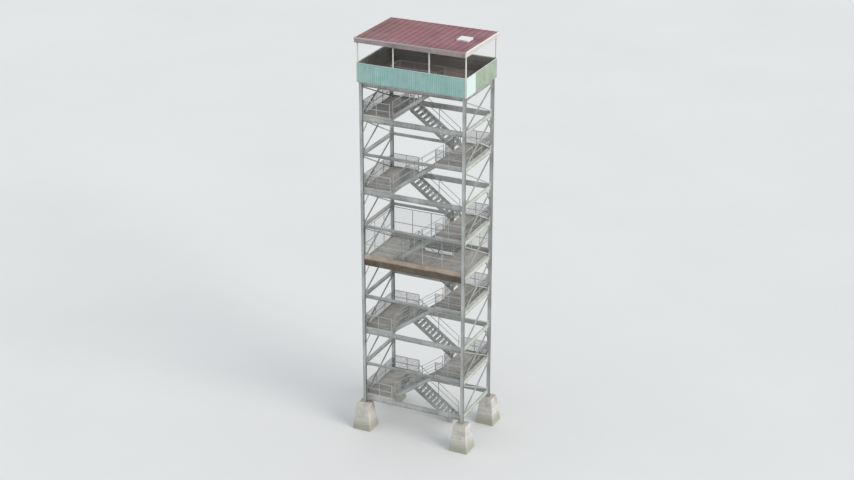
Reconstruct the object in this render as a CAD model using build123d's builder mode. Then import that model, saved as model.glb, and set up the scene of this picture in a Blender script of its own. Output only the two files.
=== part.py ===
"""Fire lookout tower: a ten-storey steel frame with a zigzag stair, a platform half way up and a
roofed lookout deck on top.  Millimetres, +Z up.  The origin is the middle of the plan at ground
level, the long sides run along X, and the front is the long side that faces -Y."""
import os
from math import atan, degrees

from build123d import *

os.makedirs("parts", exist_ok=True)

# Stair and storeys
riser = 203.2
risers_per_flight = 13
tread_run = 279.4
landing_length = 2133.6
storeys = 10
plan_depth = 4572.0
stair_width = 1270.0
lane_inset = 283.0
tread_thickness = 32.0
tread_nosing = 19.0
stringer_depth = 254.0
stringer_width = 64.0
stringer_metal = 9.0
handrail_height = 950.0
handrail_end_inset = 60.0
handrail_posts = 3

# Concrete piers and base plates
pier_base = 1400.0
pier_top = 900.0
pier_height = 2000.0
pier_batter = degrees(atan((pier_base - pier_top) / 2 / pier_height))
base_plate_side = 400.0
base_plate_thickness = 30.0

# Columns and beams
column_width = 203.0
column_depth = 203.0
column_flange = 14.0
column_web = 9.0
long_beam_width = 86.0
long_beam_metal = 12.0
deep_beam_depth = 381.0
shallow_beam_depth = 203.0
side_beam_depth = 254.0
side_beam_width = 146.0
side_beam_metal = 11.0
edge_beam_depth = 203.0
edge_beam_width = 64.0
edge_beam_metal = 9.0

# Bracing
brace_leg = 76.0
brace_metal = 8.0
gusset_thickness = 10.0
gusset_side = 330.0
gusset_edge = 180.0
brace_end_inset = 120.0
knee_drop = 1120.0
knee_reach = 480.0
knee_bar = 64.0

# Landing floors, guards and screens
floor_thickness = 38.0
fitting_gap = 5.0
joint_gap = 0.5
guard_height = 1067.0
guard_bar = 38.0
toe_plate_height = 100.0
guard_seat_inset = 36.0
screen_height = 2300.0
long_screen_posts = 6
side_screen_posts = 4
middle_platform_level = 5
edge_band_rise = 400.0
edge_band_thickness = 12.0

# Lookout deck
joist_depth = 152.0
joist_width = 51.0
joist_metal = 8.0
deck_floor_thickness = 38.0
floor_panel_gap = 4.0
edge_plate_thickness = 10.0
panel_overhang = 220.0
panel_rib_depth = 38.0
panel_sheet = 3.0
panel_rib_pitch = 508.0
panel_rib_floor = 120.0
panel_rib_slope = 35.0
panel_below_floor = 274.0
parapet_height = 1094.0
cap_thickness = 30.0
cap_overhang = 14.0
girt_size = 50.0
girt_height = 450.0

# Roof
roof_post_size = 76.0
roof_back_height = 2830.0
roof_fall = 60.0
roof_overhang_x = 250.0
roof_overhang_y = 450.0
roof_sheet_thickness = 30.0
rafter_back_depth = 122.0
rafter_width = 51.0
rafter_count = 11
roof_beam_depth = 152.0
fascia_depth = 350.0
fascia_thickness = 25.0
fascia_lip = 12.0
hatch_y = 0.0
hatch_opening = 700.0
hatch_curb_wall = 40.0
hatch_curb_height = 76.0
hatch_lid_thickness = 45.0
hatch_lid_overhang = 40.0

# Places that follow from the sizes above
storey_rise = riser * risers_per_flight
treads_per_flight = risers_per_flight - 1
flight_end = treads_per_flight * tread_run / 2
half_x = flight_end + landing_length
half_y = plan_depth / 2
slope = riser / tread_run
slope_length = (1 + slope**2) ** 0.5
deck_z = storeys * storey_rise
lane_outer = half_y - lane_inset
lane_inner = lane_outer - stair_width
tread_outer = lane_outer - stringer_width
tread_inner = lane_inner + stringer_width
column_face_x = half_x - column_width / 2
column_face_y = half_y - column_depth / 2
long_beam_back = half_y - long_beam_width / 2
joist_top = deck_z - deck_floor_thickness
girder_top = joist_top - joist_depth
post_face_x = half_x + panel_overhang - panel_rib_depth
post_face_y = half_y + panel_overhang - panel_rib_depth
plate_face_x = post_face_x - roof_post_size
plate_face_y = post_face_y - roof_post_size
floor_x = plate_face_x - edge_plate_thickness
floor_y = plate_face_y - edge_plate_thickness
roof_half_x = half_x + roof_overhang_x
roof_half_y = half_y + roof_overhang_y
rafter_end_y = roof_half_y - fascia_thickness
rafter_foot = deck_z + roof_back_height - roof_sheet_thickness - rafter_back_depth
roof_post_top = rafter_foot - roof_beam_depth

left_levels = [level for level in range(1, storeys) if level % 2 == 1]
right_levels = [level for level in range(1, storeys) if level % 2 == 0]
all_levels = list(range(1, storeys))
front_flights = [level for level in range(1, storeys + 1) if level % 2 == 0]
back_flights = [level for level in range(1, storeys + 1) if level % 2 == 1]


def floor_z(level):
    return level * storey_rise


def beam_top(level):
    return floor_z(level) - floor_thickness


def long_beam_depth(level):
    return deep_beam_depth if level % 2 == 1 else shallow_beam_depth


def roof_top(y):
    """Top of the roof sheet, which falls from the front to the back."""
    return deck_z + roof_back_height + roof_fall * (rafter_end_y - y) / (2 * rafter_end_y)


# Rolled sections, drawn round the local origin with the depth along local Y
def channel(depth, width, metal, top=0.0):
    """Channel whose back lies on local X = 0 and whose top edge is at local Y = top."""
    low = top - depth
    points = [(0, low), (width, low), (width, low + metal), (metal, low + metal),
              (metal, top - metal), (width, top - metal), (width, top), (0, top)]
    return Polygon(*points, align=None)


def wide_flange(depth, width, web, flange, top=0.0):
    """I section centred on local X = 0 with its top edge at local Y = top."""
    low = top - depth
    half, half_web = width / 2, web / 2
    points = [(-half, low), (half, low), (half, low + flange), (half_web, low + flange),
              (half_web, top - flange), (half, top - flange), (half, top), (-half, top),
              (-half, top - flange), (-half_web, top - flange), (-half_web, low + flange),
              (-half, low + flange)]
    return Polygon(*points, align=None)


def angle(leg, metal):
    """Angle with one leg flat on local X = 0 and the other standing out along +X."""
    half = leg / 2
    points = [(0, -half), (metal, -half), (metal, half - metal), (leg, half - metal),
              (leg, half), (0, half)]
    return Polygon(*points, align=None)


def box(low, high):
    """Upright block between two corners."""
    size = [high[axis] - low[axis] for axis in range(3)]
    with Locations(Location(tuple(low))):
        Box(*size, align=(Align.MIN, Align.MIN, Align.MIN))


def block(low_x, high_x, low_y, high_y):
    """Rectangle in the open sketch, between two local corners."""
    with Locations(((low_x + high_x) / 2, (low_y + high_y) / 2)):
        Rectangle(high_x - low_x, high_y - low_y)


def guard_frame(start, end, foot, height, posts, rails):
    """Flat guard in the open sketch: posts, rails at the given heights and a toe plate."""
    span = end - start - guard_bar
    for index in range(posts):
        left = start + span * index / (posts - 1)
        block(left, left + guard_bar, foot, foot + height)
    for rail in rails:
        block(start, end, foot + rail - guard_bar, foot + rail)
    block(start, end, foot, foot + toe_plate_height)


def along_x(x, y, side):
    """Plane whose normal runs along X, local X pointing away from the middle on that side."""
    return Plane(origin=(-side * x, y, 0), x_dir=(0, side, 0), z_dir=(side, 0, 0))


def along_y(x, y):
    """Plane whose normal is +Y, local X running to -X and local Y up."""
    return Plane(origin=(x, y, 0), x_dir=(-1, 0, 0), z_dir=(0, 1, 0))


def facing_front(y):
    """Upright plane with local X to the right and local Y up; it faces -Y."""
    return Plane(origin=(0, y, 0), x_dir=(1, 0, 0), z_dir=(0, -1, 0))


def facing_right(x):
    """Upright plane with local X to the back and local Y up; it faces +X."""
    return Plane(origin=(x, 0, 0), x_dir=(0, 1, 0), z_dir=(1, 0, 0))


# Concrete piers: battered blocks, one under each column
with BuildPart() as piers:
    with BuildSketch(Plane.XY):
        with GridLocations(2 * half_x, 2 * half_y, 2, 2):
            Rectangle(pier_base, pier_base)
    extrude(amount=pier_height, taper=pier_batter)
piers.part.label = "concrete_piers"
export_step(piers.part, "parts/concrete_piers.step")

# Base plates grouted on the piers
with BuildPart() as base_plates:
    with BuildSketch(Plane.XY.offset(pier_height)):
        with GridLocations(2 * half_x, 2 * half_y, 2, 2):
            Rectangle(base_plate_side, base_plate_side)
    extrude(amount=base_plate_thickness)
base_plates.part.label = "base_plates"
export_step(base_plates.part, "parts/base_plates.step")

# Columns: wide-flange sections from the base plates to the deck joists, flanges to front and back
column_foot = pier_height + base_plate_thickness
column_height = girder_top - column_foot


def column(side_x, side_y):
    with BuildPart() as post:
        with BuildSketch(Plane.XY.offset(column_foot)):
            with Locations((side_x * half_x, side_y * half_y)):
                wide_flange(column_depth, column_width, column_web, column_flange, column_depth / 2)
        extrude(amount=column_height)
    return post


column_front_left = column(-1, -1)
column_front_left.part.label = "column_front_left"
export_step(column_front_left.part, "parts/column_front_left.step")
column_front_right = column(1, -1)
column_front_right.part.label = "column_front_right"
export_step(column_front_right.part, "parts/column_front_right.step")
column_back_left = column(-1, 1)
column_back_left.part.label = "column_back_left"
export_step(column_back_left.part, "parts/column_back_left.step")
column_back_right = column(1, 1)
column_back_right.part.label = "column_back_right"
export_step(column_back_right.part, "parts/column_back_right.step")

# Long beams: channels let in between the column flanges, backs to the inside; the odd levels,
# which also stiffen the long sides, have the deep ones
long_beam_start = half_x - column_web / 2


def long_beams(side_y):
    with BuildPart() as beams:
        with BuildSketch(along_x(long_beam_start, side_y * long_beam_back, side_y)):
            for level in all_levels:
                channel(long_beam_depth(level), long_beam_width, long_beam_metal, beam_top(level))
        extrude(amount=2 * long_beam_start)
    return beams


front_beams = long_beams(-1)
front_beams.part.label = "front_beams"
export_step(front_beams.part, "parts/front_beams.step")
back_beams = long_beams(1)
back_beams.part.label = "back_beams"
export_step(back_beams.part, "parts/back_beams.step")


# Side beams: wide-flange sections between the column flanges at every level
def side_beams(side_x):
    with BuildPart() as beams:
        with BuildSketch(along_y(side_x * half_x, -column_face_y)):
            for level in all_levels:
                wide_flange(side_beam_depth, side_beam_width, side_beam_metal, side_beam_metal,
                            beam_top(level))
        extrude(amount=2 * column_face_y)
    return beams


left_beams = side_beams(-1)
left_beams.part.label = "left_beams"
export_step(left_beams.part, "parts/left_beams.step")
right_beams = side_beams(1)
right_beams.part.label = "right_beams"
export_step(right_beams.part, "parts/right_beams.step")

# Deck girders: they close the frame under the joists
with BuildPart() as deck_girders:
    for side_y in (-1, 1):
        with BuildSketch(along_x(long_beam_start, side_y * long_beam_back, side_y)):
            channel(deep_beam_depth, long_beam_width, long_beam_metal, girder_top)
        extrude(amount=2 * long_beam_start)
    for side_x in (-1, 1):
        with BuildSketch(along_y(side_x * half_x, -column_face_y)):
            wide_flange(deep_beam_depth, side_beam_width, side_beam_metal, side_beam_metal, girder_top)
        extrude(amount=2 * column_face_y)
deck_girders.part.label = "deck_girders"
export_step(deck_girders.part, "parts/deck_girders.step")


# Gusset plates in the corners of each braced side panel, on the column's centre line
def panel_foot(level):
    return beam_top(level)


def panel_head(level):
    """Underside of the beam that closes the panel above this level."""
    if level + 1 == storeys:
        return girder_top - deep_beam_depth
    return beam_top(level + 1) - side_beam_depth


with BuildPart() as brace_gussets:
    for side_x in (-1, 1):
        with BuildSketch(facing_right(side_x * half_x)):
            for level in all_levels:
                for side_y in (-1, 1):
                    edge = side_y * column_face_y
                    for start, turn in ((panel_foot(level), 1), (panel_head(level), -1)):
                        Polygon((edge, start), (edge - side_y * gusset_side, start),
                                (edge - side_y * gusset_edge, start + turn * gusset_side),
                                (edge, start + turn * gusset_side), align=None)
        extrude(amount=gusset_thickness / 2, both=True)
brace_gussets.part.label = "brace_gussets"
export_step(brace_gussets.part, "parts/brace_gussets.step")


# Cross bracing of the short sides: two angles a panel, one on each face of the gussets
def side_braces(side_x):
    with BuildPart() as braces:
        for level in all_levels:
            reach = column_face_y - brace_end_inset
            low = panel_foot(level) + brace_end_inset
            high = panel_head(level) - brace_end_inset
            for direction in (-1, 1):
                start = Vector(side_x * half_x + direction * gusset_thickness / 2, -direction * reach, low)
                end = Vector(start.X, direction * reach, high)
                run = end - start
                with BuildSketch(Plane(origin=start, x_dir=(direction, 0, 0), z_dir=run.normalized())):
                    angle(brace_leg, brace_metal)
                extrude(amount=run.length)
    return braces


left_braces = side_braces(-1)
left_braces.part.label = "left_braces"
export_step(left_braces.part, "parts/left_braces.step")
right_braces = side_braces(1)
right_braces.part.label = "right_braces"
export_step(right_braces.part, "parts/right_braces.step")

# Knee braces: struts from the column webs to the deep beams, cut to lie flat on both
knee_levels = [level for level in left_levels if level > 1]
with BuildPart() as knee_braces:
    for side_y in (-1, 1):
        with BuildSketch(facing_front(side_y * half_y)):
            for level in knee_levels:
                top = beam_top(level) - deep_beam_depth
                for side_x in (-1, 1):
                    wall = side_x * long_beam_start
                    inner = wall - side_x * knee_reach
                    Polygon((wall, top - knee_drop), (wall, top - knee_drop + knee_bar * 2),
                            (inner + side_x * knee_bar, top), (inner, top), align=None)
        extrude(amount=knee_bar / 2, both=True)
knee_braces.part.label = "knee_braces"
export_step(knee_braces.part, "parts/knee_braces.step")

# Landing edge beams: channels across the tower that carry the stair heads, backs to the stair,
# with the joists of the middle platform between two of them
middle_z = floor_z(middle_platform_level)
platform_joists = ((-lane_inner, 1), (0.0, 1), (lane_inner, -1))
with BuildPart() as landing_beams:
    for side_x, levels in ((-1, left_levels), (1, right_levels + [middle_platform_level])):
        plane = Plane(origin=(side_x * flight_end, side_x * long_beam_back, 0), x_dir=(side_x, 0, 0),
                      z_dir=(0, -side_x, 0))
        with BuildSketch(plane):
            for level in levels:
                channel(edge_beam_depth, edge_beam_width, edge_beam_metal, beam_top(level))
        extrude(amount=2 * long_beam_back)
    for joist_y, turn in platform_joists:
        with BuildSketch(along_x(flight_end - joint_gap, joist_y, turn)):
            channel(edge_beam_depth, edge_beam_width, edge_beam_metal, beam_top(middle_platform_level))
        extrude(amount=2 * (flight_end - joint_gap))
landing_beams.part.label = "landing_beams"
export_step(landing_beams.part, "parts/landing_beams.step")

# Landing floors: planks laid along X, each floor drawn as one plate notched round the columns
landing_outer = half_x - gusset_thickness / 2 - fitting_gap
notch_x = column_face_x - fitting_gap
notch_y = column_face_y - fitting_gap


def landing_outline(side_x):
    points = [(flight_end, -half_y), (notch_x, -half_y), (notch_x, -notch_y), (landing_outer, -notch_y),
              (landing_outer, notch_y), (notch_x, notch_y), (notch_x, half_y), (flight_end, half_y)]
    Polygon(*[(side_x * x, y) for x, y in points], align=None)


def landing_floors(side_x, levels):
    with BuildPart() as floors:
        for level in levels:
            with BuildSketch(Plane.XY.offset(beam_top(level))):
                landing_outline(side_x)
            extrude(amount=floor_thickness)
    return floors


left_landings = landing_floors(-1, left_levels)
left_landings.part.label = "left_landings"
export_step(left_landings.part, "parts/left_landings.step")
right_landings = landing_floors(1, right_levels)
right_landings.part.label = "right_landings"
export_step(right_landings.part, "parts/right_landings.step")

# Middle platform floor: the right end and the front half of the middle; the stair down passes
# through the gap at the back
with BuildPart() as middle_platform_floor:
    with BuildSketch(Plane.XY.offset(beam_top(middle_platform_level))):
        landing_outline(1)
        block(-flight_end + floor_panel_gap, flight_end - floor_panel_gap, -half_y, lane_inner)
    extrude(amount=floor_thickness)
middle_platform_floor.part.label = "middle_platform_floor"
export_step(middle_platform_floor.part, "parts/middle_platform_floor.step")

# Edge bands: painted plates on the outer edges of the middle platform's long beams, which stand
# up past the floor as kick boards
band_face = half_y + long_beam_width / 2
band_foot = beam_top(middle_platform_level) - long_beam_depth(middle_platform_level)
band_half_length = column_face_x - fitting_gap
with BuildPart() as edge_bands:
    for side_y in (-1, 1):
        with BuildSketch(facing_front(side_y * (band_face + edge_band_thickness / 2))):
            block(-band_half_length, band_half_length, band_foot, middle_z + edge_band_rise)
        extrude(amount=edge_band_thickness / 2, both=True)
edge_bands.part.label = "middle_platform_edge_bands"
export_step(edge_bands.part, "parts/middle_platform_edge_bands.step")

# Guards round the landings: one flat frame on each open side
side_guard_x = half_x - gusset_thickness / 2 - brace_leg - 2 * fitting_gap - guard_bar / 2
long_guard_y = half_y - guard_seat_inset
middle_guard_x = flight_end + guard_seat_inset
rail_heights = (guard_height, guard_height / 2)
long_guard_end = column_face_x - 2 * fitting_gap


def landing_guards(side_x, levels):
    side_span = column_face_y - 2 * fitting_gap
    near, far = sorted((side_x * (flight_end + fitting_gap), side_x * long_guard_end))
    with BuildPart() as guards:
        with BuildSketch(facing_right(side_x * side_guard_x)):
            for level in levels:
                guard_frame(-side_span, side_span, floor_z(level), guard_height, 4, rail_heights)
        extrude(amount=guard_bar / 2, both=True)
        with BuildSketch(facing_right(side_x * middle_guard_x)):
            for level in levels:
                guard_frame(-lane_inner, lane_inner, floor_z(level), guard_height, 2, rail_heights)
        extrude(amount=guard_bar / 2, both=True)
        for side_y in (-1, 1):
            with BuildSketch(facing_front(side_y * long_guard_y)):
                for level in levels:
                    guard_frame(near, far, floor_z(level), guard_height, 3, rail_heights)
            extrude(amount=guard_bar / 2, both=True)
    return guards


left_guards = landing_guards(-1, [level for level in left_levels if level != middle_platform_level])
left_guards.part.label = "left_landing_guards"
export_step(left_guards.part, "parts/left_landing_guards.step")
right_guards = landing_guards(1, right_levels)
right_guards.part.label = "right_landing_guards"
export_step(right_guards.part, "parts/right_landing_guards.step")

# Mesh screens round the middle platform: angle frames, storey high
with BuildPart() as screens:
    screen_rails = (screen_height, screen_height / 2)
    for side_y in (-1, 1):
        with BuildSketch(facing_front(side_y * long_guard_y)):
            guard_frame(-long_guard_end, long_guard_end, middle_z, screen_height, long_screen_posts,
                        screen_rails)
        extrude(amount=guard_bar / 2, both=True)
    for side_x in (-1, 1):
        side_span = column_face_y - 2 * fitting_gap
        with BuildSketch(facing_right(side_x * side_guard_x)):
            guard_frame(-side_span, side_span, middle_z, screen_height, side_screen_posts, screen_rails)
        extrude(amount=guard_bar / 2, both=True)
screens.part.label = "middle_platform_screens"
export_step(screens.part, "parts/middle_platform_screens.step")

# Guards round the two stairwells, in the middle platform and in the deck
well_guard_y = lane_inner - guard_seat_inset
well_end_x = flight_end + guard_seat_inset
well_guard_start = flight_end - fitting_gap
with BuildPart() as stairwell_guards:
    with BuildSketch(facing_front(well_guard_y)):
        guard_frame(-well_guard_start, well_guard_start, middle_z, guard_height, 4, rail_heights)
    extrude(amount=guard_bar / 2, both=True)
    with BuildSketch(facing_right(well_end_x)):
        guard_frame(lane_inner, long_guard_y - guard_bar, middle_z, guard_height, 2, rail_heights)
    extrude(amount=guard_bar / 2, both=True)
    for guard_y in (-well_guard_y, -lane_outer - guard_seat_inset):
        with BuildSketch(facing_front(guard_y)):
            guard_frame(-well_guard_start, well_guard_start, deck_z, guard_height, 4, rail_heights)
        extrude(amount=guard_bar / 2, both=True)
    with BuildSketch(facing_right(-well_end_x)):
        guard_frame(-lane_outer, -lane_inner, deck_z, guard_height, 2, rail_heights)
    extrude(amount=guard_bar / 2, both=True)
stairwell_guards.part.label = "stairwell_guards"
export_step(stairwell_guards.part, "parts/stairwell_guards.step")

# Stair stringers: channels with plumb-cut ends between the landing edge beams, backs to the treads
stringer_drop = stringer_depth * slope_length
metal_drop = stringer_metal * slope_length


def stringer_side(level, high_side, upper, lower):
    """Side outline of one flight's stringer between two lines below the line of nosings."""
    top = floor_z(level)
    bottom = top - (treads_per_flight * riser)
    ends = (high_side * flight_end, -high_side * flight_end)
    Polygon((ends[0], top - upper), (ends[1], bottom - upper), (ends[1], bottom - lower),
            (ends[0], top - lower), align=None)


def stringers(side_y, flights, high_side):
    with BuildPart() as pair:
        for back, reach in ((tread_outer, 1), (tread_inner, -1)):
            with BuildSketch(facing_front(side_y * back)):
                for level in flights:
                    stringer_side(level, high_side, 0, stringer_drop)
            extrude(amount=-side_y * reach * stringer_width)
            with BuildSketch(facing_front(side_y * (back + reach * stringer_metal))):
                for level in flights:
                    stringer_side(level, high_side, metal_drop, stringer_drop - metal_drop)
            extrude(amount=-side_y * reach * (stringer_width - stringer_metal), mode=Mode.SUBTRACT)
        for floor in (0.0, middle_z):
            with Locations((0, side_y * (lane_inner + lane_outer) / 2, floor)):
                Box(2 * flight_end, stair_width, 2 * riser, mode=Mode.SUBTRACT,
                    align=(Align.CENTER, Align.CENTER, Align.MAX))
    return pair


front_stringers = stringers(-1, front_flights, 1)
front_stringers.part.label = "front_stringers"
export_step(front_stringers.part, "parts/front_stringers.step")
back_stringers = stringers(1, back_flights, -1)
back_stringers.part.label = "back_stringers"
export_step(back_stringers.part, "parts/back_stringers.step")


# Treads: planks between the stringers
def treads(side_y, flights, high_side):
    with BuildPart() as planks:
        with BuildSketch(facing_front(side_y * tread_inner)):
            for level in flights:
                for step in range(1, treads_per_flight + 1):
                    front_edge = -flight_end + (step - 1) * tread_run - tread_nosing
                    back_edge = -flight_end + step * tread_run
                    if step == 1:
                        front_edge = -flight_end
                    near, far = sorted((high_side * front_edge, high_side * back_edge))
                    top = floor_z(level - 1) + step * riser
                    block(near, far, top - tread_thickness, top)
        extrude(amount=-side_y * (tread_outer - tread_inner))
    return planks


front_treads = treads(-1, front_flights, 1)
front_treads.part.label = "front_treads"
export_step(front_treads.part, "parts/front_treads.step")
back_treads = treads(1, back_flights, -1)
back_treads.part.label = "back_treads"
export_step(back_treads.part, "parts/back_treads.step")


# Stair handrails: a frame of posts and two rails standing on each stringer
rail_reach = flight_end - handrail_end_inset


def nosing_line(level, x):
    """Height of the line of nosings, x measured towards the upper landing."""
    return floor_z(level) - (flight_end - x) * slope


def slanted_bar(level, high_side, start, end, low, high):
    """Upright-sided piece of a handrail between two heights above the line of nosings."""
    at_start, at_end = nosing_line(level, start), nosing_line(level, end)
    Polygon((high_side * start, at_start + low), (high_side * end, at_end + low),
            (high_side * end, at_end + high), (high_side * start, at_start + high), align=None)


def handrails(side_y, flights, high_side):
    spacing = (2 * rail_reach - guard_bar) / (handrail_posts - 1)
    with BuildPart() as rails:
        for centre in (tread_outer + stringer_width / 2, tread_inner - stringer_width / 2):
            with BuildSketch(facing_front(side_y * centre)):
                for level in flights:
                    for height in (handrail_height, handrail_height / 2):
                        slanted_bar(level, high_side, -rail_reach, rail_reach, height - guard_bar, height)
                    for index in range(handrail_posts):
                        left = -rail_reach + index * spacing
                        slanted_bar(level, high_side, left, left + guard_bar, 0, handrail_height)
            extrude(amount=guard_bar / 2, both=True)
    return rails


front_handrails = handrails(-1, front_flights, 1)
front_handrails.part.label = "front_handrails"
export_step(front_handrails.part, "parts/front_handrails.step")
back_handrails = handrails(1, back_flights, -1)
back_handrails.part.label = "back_handrails"
export_step(back_handrails.part, "parts/back_handrails.step")

# Deck joists: channels across the girders, trimmed round the stairwell in the front lane
full_joists_x = (half_x, (half_x + flight_end) / 2, flight_end)
short_joists_x = (-flight_end / 2, 0.0, flight_end / 2)
header_inner_end = -lane_inner + joist_width + joint_gap
header_outer_end = -lane_outer - joist_width - joint_gap


def joist(x, start_y, end_y, side_x):
    """Joist along Y with its back at x and its flanges away from the middle on that side."""
    origin_y = end_y if side_x > 0 else start_y
    plane = Plane(origin=(x, origin_y, 0), x_dir=(side_x, 0, 0), z_dir=(0, -side_x, 0))
    with BuildSketch(plane) as outline:
        channel(joist_depth, joist_width, joist_metal, joist_top)
    extrude(outline.sketch, amount=end_y - start_y)


with BuildPart() as deck_joists:
    for side_x in (-1, 1):
        for joist_x in full_joists_x:
            joist(side_x * joist_x, -floor_y, floor_y, side_x)
    for joist_x in short_joists_x:
        joist(joist_x, header_inner_end, floor_y, 1)
        joist(joist_x, -floor_y, header_outer_end, 1)
    for header_y, turn in ((-lane_inner, 1), (-lane_outer, -1)):
        with BuildSketch(along_x(flight_end - joint_gap, header_y, turn)):
            channel(joist_depth, joist_width, joist_metal, joist_top)
        extrude(amount=2 * (flight_end - joint_gap))
deck_joists.part.label = "deck_joists"
export_step(deck_joists.part, "parts/deck_joists.step")

# Edge plates round the joist ends
with BuildPart() as deck_edge_plates:
    for side_y in (-1, 1):
        near, far = sorted((side_y * floor_y, side_y * plate_face_y))
        box((-post_face_x, near, girder_top), (post_face_x, far, deck_z))
    for side_x in (-1, 1):
        near, far = sorted((side_x * floor_x, side_x * plate_face_x))
        box((near, -floor_y + joint_gap, girder_top), (far, floor_y - joint_gap, deck_z))
deck_edge_plates.part.label = "deck_edge_plates"
export_step(deck_edge_plates.part, "parts/deck_edge_plates.step")

# Deck floor: four flat panels round the stairwell
with BuildPart() as deck_floor:
    with BuildSketch(Plane.XY.offset(joist_top)):
        block(-floor_x, -flight_end, -floor_y, floor_y)
        block(flight_end, floor_x, -floor_y, floor_y)
        block(-flight_end + floor_panel_gap, flight_end - floor_panel_gap, -lane_inner, floor_y)
        block(-flight_end + floor_panel_gap, flight_end - floor_panel_gap, -floor_y, -lane_outer)
    extrude(amount=deck_floor_thickness)
deck_floor.part.label = "deck_floor"
export_step(deck_floor.part, "parts/deck_floor.step")

# Ribbed sheet panels of the parapet
panel_top = deck_z + parapet_height - cap_thickness
panel_foot_z = deck_z - panel_below_floor


def ribbed_sheet(length):
    """Plan outline of a ribbed sheet along local X, its outer face on local Y = 0."""
    ribs = round(length / panel_rib_pitch)
    pitch = length / ribs
    depth = panel_rib_depth - panel_sheet
    edge = (pitch - panel_rib_floor) / 2 - panel_rib_slope
    outer = [(-length / 2, 0.0)]
    for rib in range(ribs):
        start = -length / 2 + rib * pitch
        outer += [(start + edge, 0.0), (start + edge + panel_rib_slope, depth),
                  (start + edge + panel_rib_slope + panel_rib_floor, depth),
                  (start + pitch - edge, 0.0)]
    outer.append((length / 2, 0.0))
    inner = [(x, y + panel_sheet) for x, y in reversed(outer)]
    Polygon(*outer, *inner, align=None)


def parapet_panel(length, out, facing):
    """Panel with its outer face at the distance out from the plan's middle, on the facing side."""
    with BuildPart() as panel:
        origin = (out * facing[0], out * facing[1], panel_foot_z)
        with BuildSketch(Plane(origin=origin, x_dir=(-facing[1], facing[0], 0), z_dir=(0, 0, 1))):
            ribbed_sheet(length)
        extrude(amount=panel_top - panel_foot_z)
    return panel


front_panel = parapet_panel(2 * (half_x + panel_overhang), half_y + panel_overhang, (0, -1))
front_panel.part.label = "parapet_panel_front"
export_step(front_panel.part, "parts/parapet_panel_front.step")
back_panel = parapet_panel(2 * (half_x + panel_overhang), half_y + panel_overhang, (0, 1))
back_panel.part.label = "parapet_panel_back"
export_step(back_panel.part, "parts/parapet_panel_back.step")
left_panel = parapet_panel(2 * post_face_y, half_x + panel_overhang, (-1, 0))
left_panel.part.label = "parapet_panel_left"
export_step(left_panel.part, "parts/parapet_panel_left.step")
right_panel = parapet_panel(2 * post_face_y, half_x + panel_overhang, (1, 0))
right_panel.part.label = "parapet_panel_right"
export_step(right_panel.part, "parts/parapet_panel_right.step")

# Cap rails along the top of the parapet
cap_x = half_x + panel_overhang + cap_overhang
cap_y = half_y + panel_overhang + cap_overhang
with BuildPart() as parapet_caps:
    for side_y in (-1, 1):
        near, far = sorted((side_y * post_face_y, side_y * cap_y))
        box((-cap_x, near, panel_top), (cap_x, far, panel_top + cap_thickness))
    for side_x in (-1, 1):
        near, far = sorted((side_x * post_face_x, side_x * cap_x))
        box((near, -post_face_y + joint_gap, panel_top),
            (far, post_face_y - joint_gap, panel_top + cap_thickness))
parapet_caps.part.label = "parapet_caps"
export_step(parapet_caps.part, "parts/parapet_caps.step")

# Roof posts: at the corners and at the third points of the long sides
corner_post_x = post_face_x - roof_post_size / 2
post_y = post_face_y - roof_post_size / 2
roof_posts_x = (-corner_post_x, -corner_post_x / 3, corner_post_x / 3, corner_post_x)
with BuildPart() as roof_posts:
    with BuildSketch(Plane.XY.offset(panel_foot_z)):
        for post_x in roof_posts_x:
            with Locations((post_x, -post_y), (post_x, post_y)):
                Rectangle(roof_post_size, roof_post_size)
    extrude(amount=roof_post_top - panel_foot_z)
roof_posts.part.label = "roof_posts"
export_step(roof_posts.part, "parts/roof_posts.step")

# Girts: rails between the posts that the parapet sheets are screwed to
girt_feet = (deck_z + girt_height, panel_top - girt_size)
with BuildPart() as parapet_girts:
    for foot in girt_feet:
        for side_y in (-1, 1):
            near, far = sorted((side_y * (post_face_y - girt_size), side_y * post_face_y))
            for left_post, right_post in zip(roof_posts_x[:-1], roof_posts_x[1:]):
                box((left_post + roof_post_size / 2, near, foot),
                    (right_post - roof_post_size / 2, far, foot + girt_size))
        for side_x in (-1, 1):
            near, far = sorted((side_x * (post_face_x - girt_size), side_x * post_face_x))
            box((near, -plate_face_y, foot), (far, plate_face_y, foot + girt_size))
parapet_girts.part.label = "parapet_girts"
export_step(parapet_girts.part, "parts/parapet_girts.step")

# Roof beams on the posts
with BuildPart() as roof_beams:
    for side_y in (-1, 1):
        near, far = sorted((side_y * plate_face_y, side_y * post_face_y))
        box((-post_face_x, near, roof_post_top), (post_face_x, far, rafter_foot))
    for side_x in (-1, 1):
        near, far = sorted((side_x * plate_face_x, side_x * post_face_x))
        box((near, -plate_face_y + joint_gap, roof_post_top),
            (far, plate_face_y - joint_gap, rafter_foot))
roof_beams.part.label = "roof_beams"
export_step(roof_beams.part, "parts/roof_beams.step")

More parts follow.
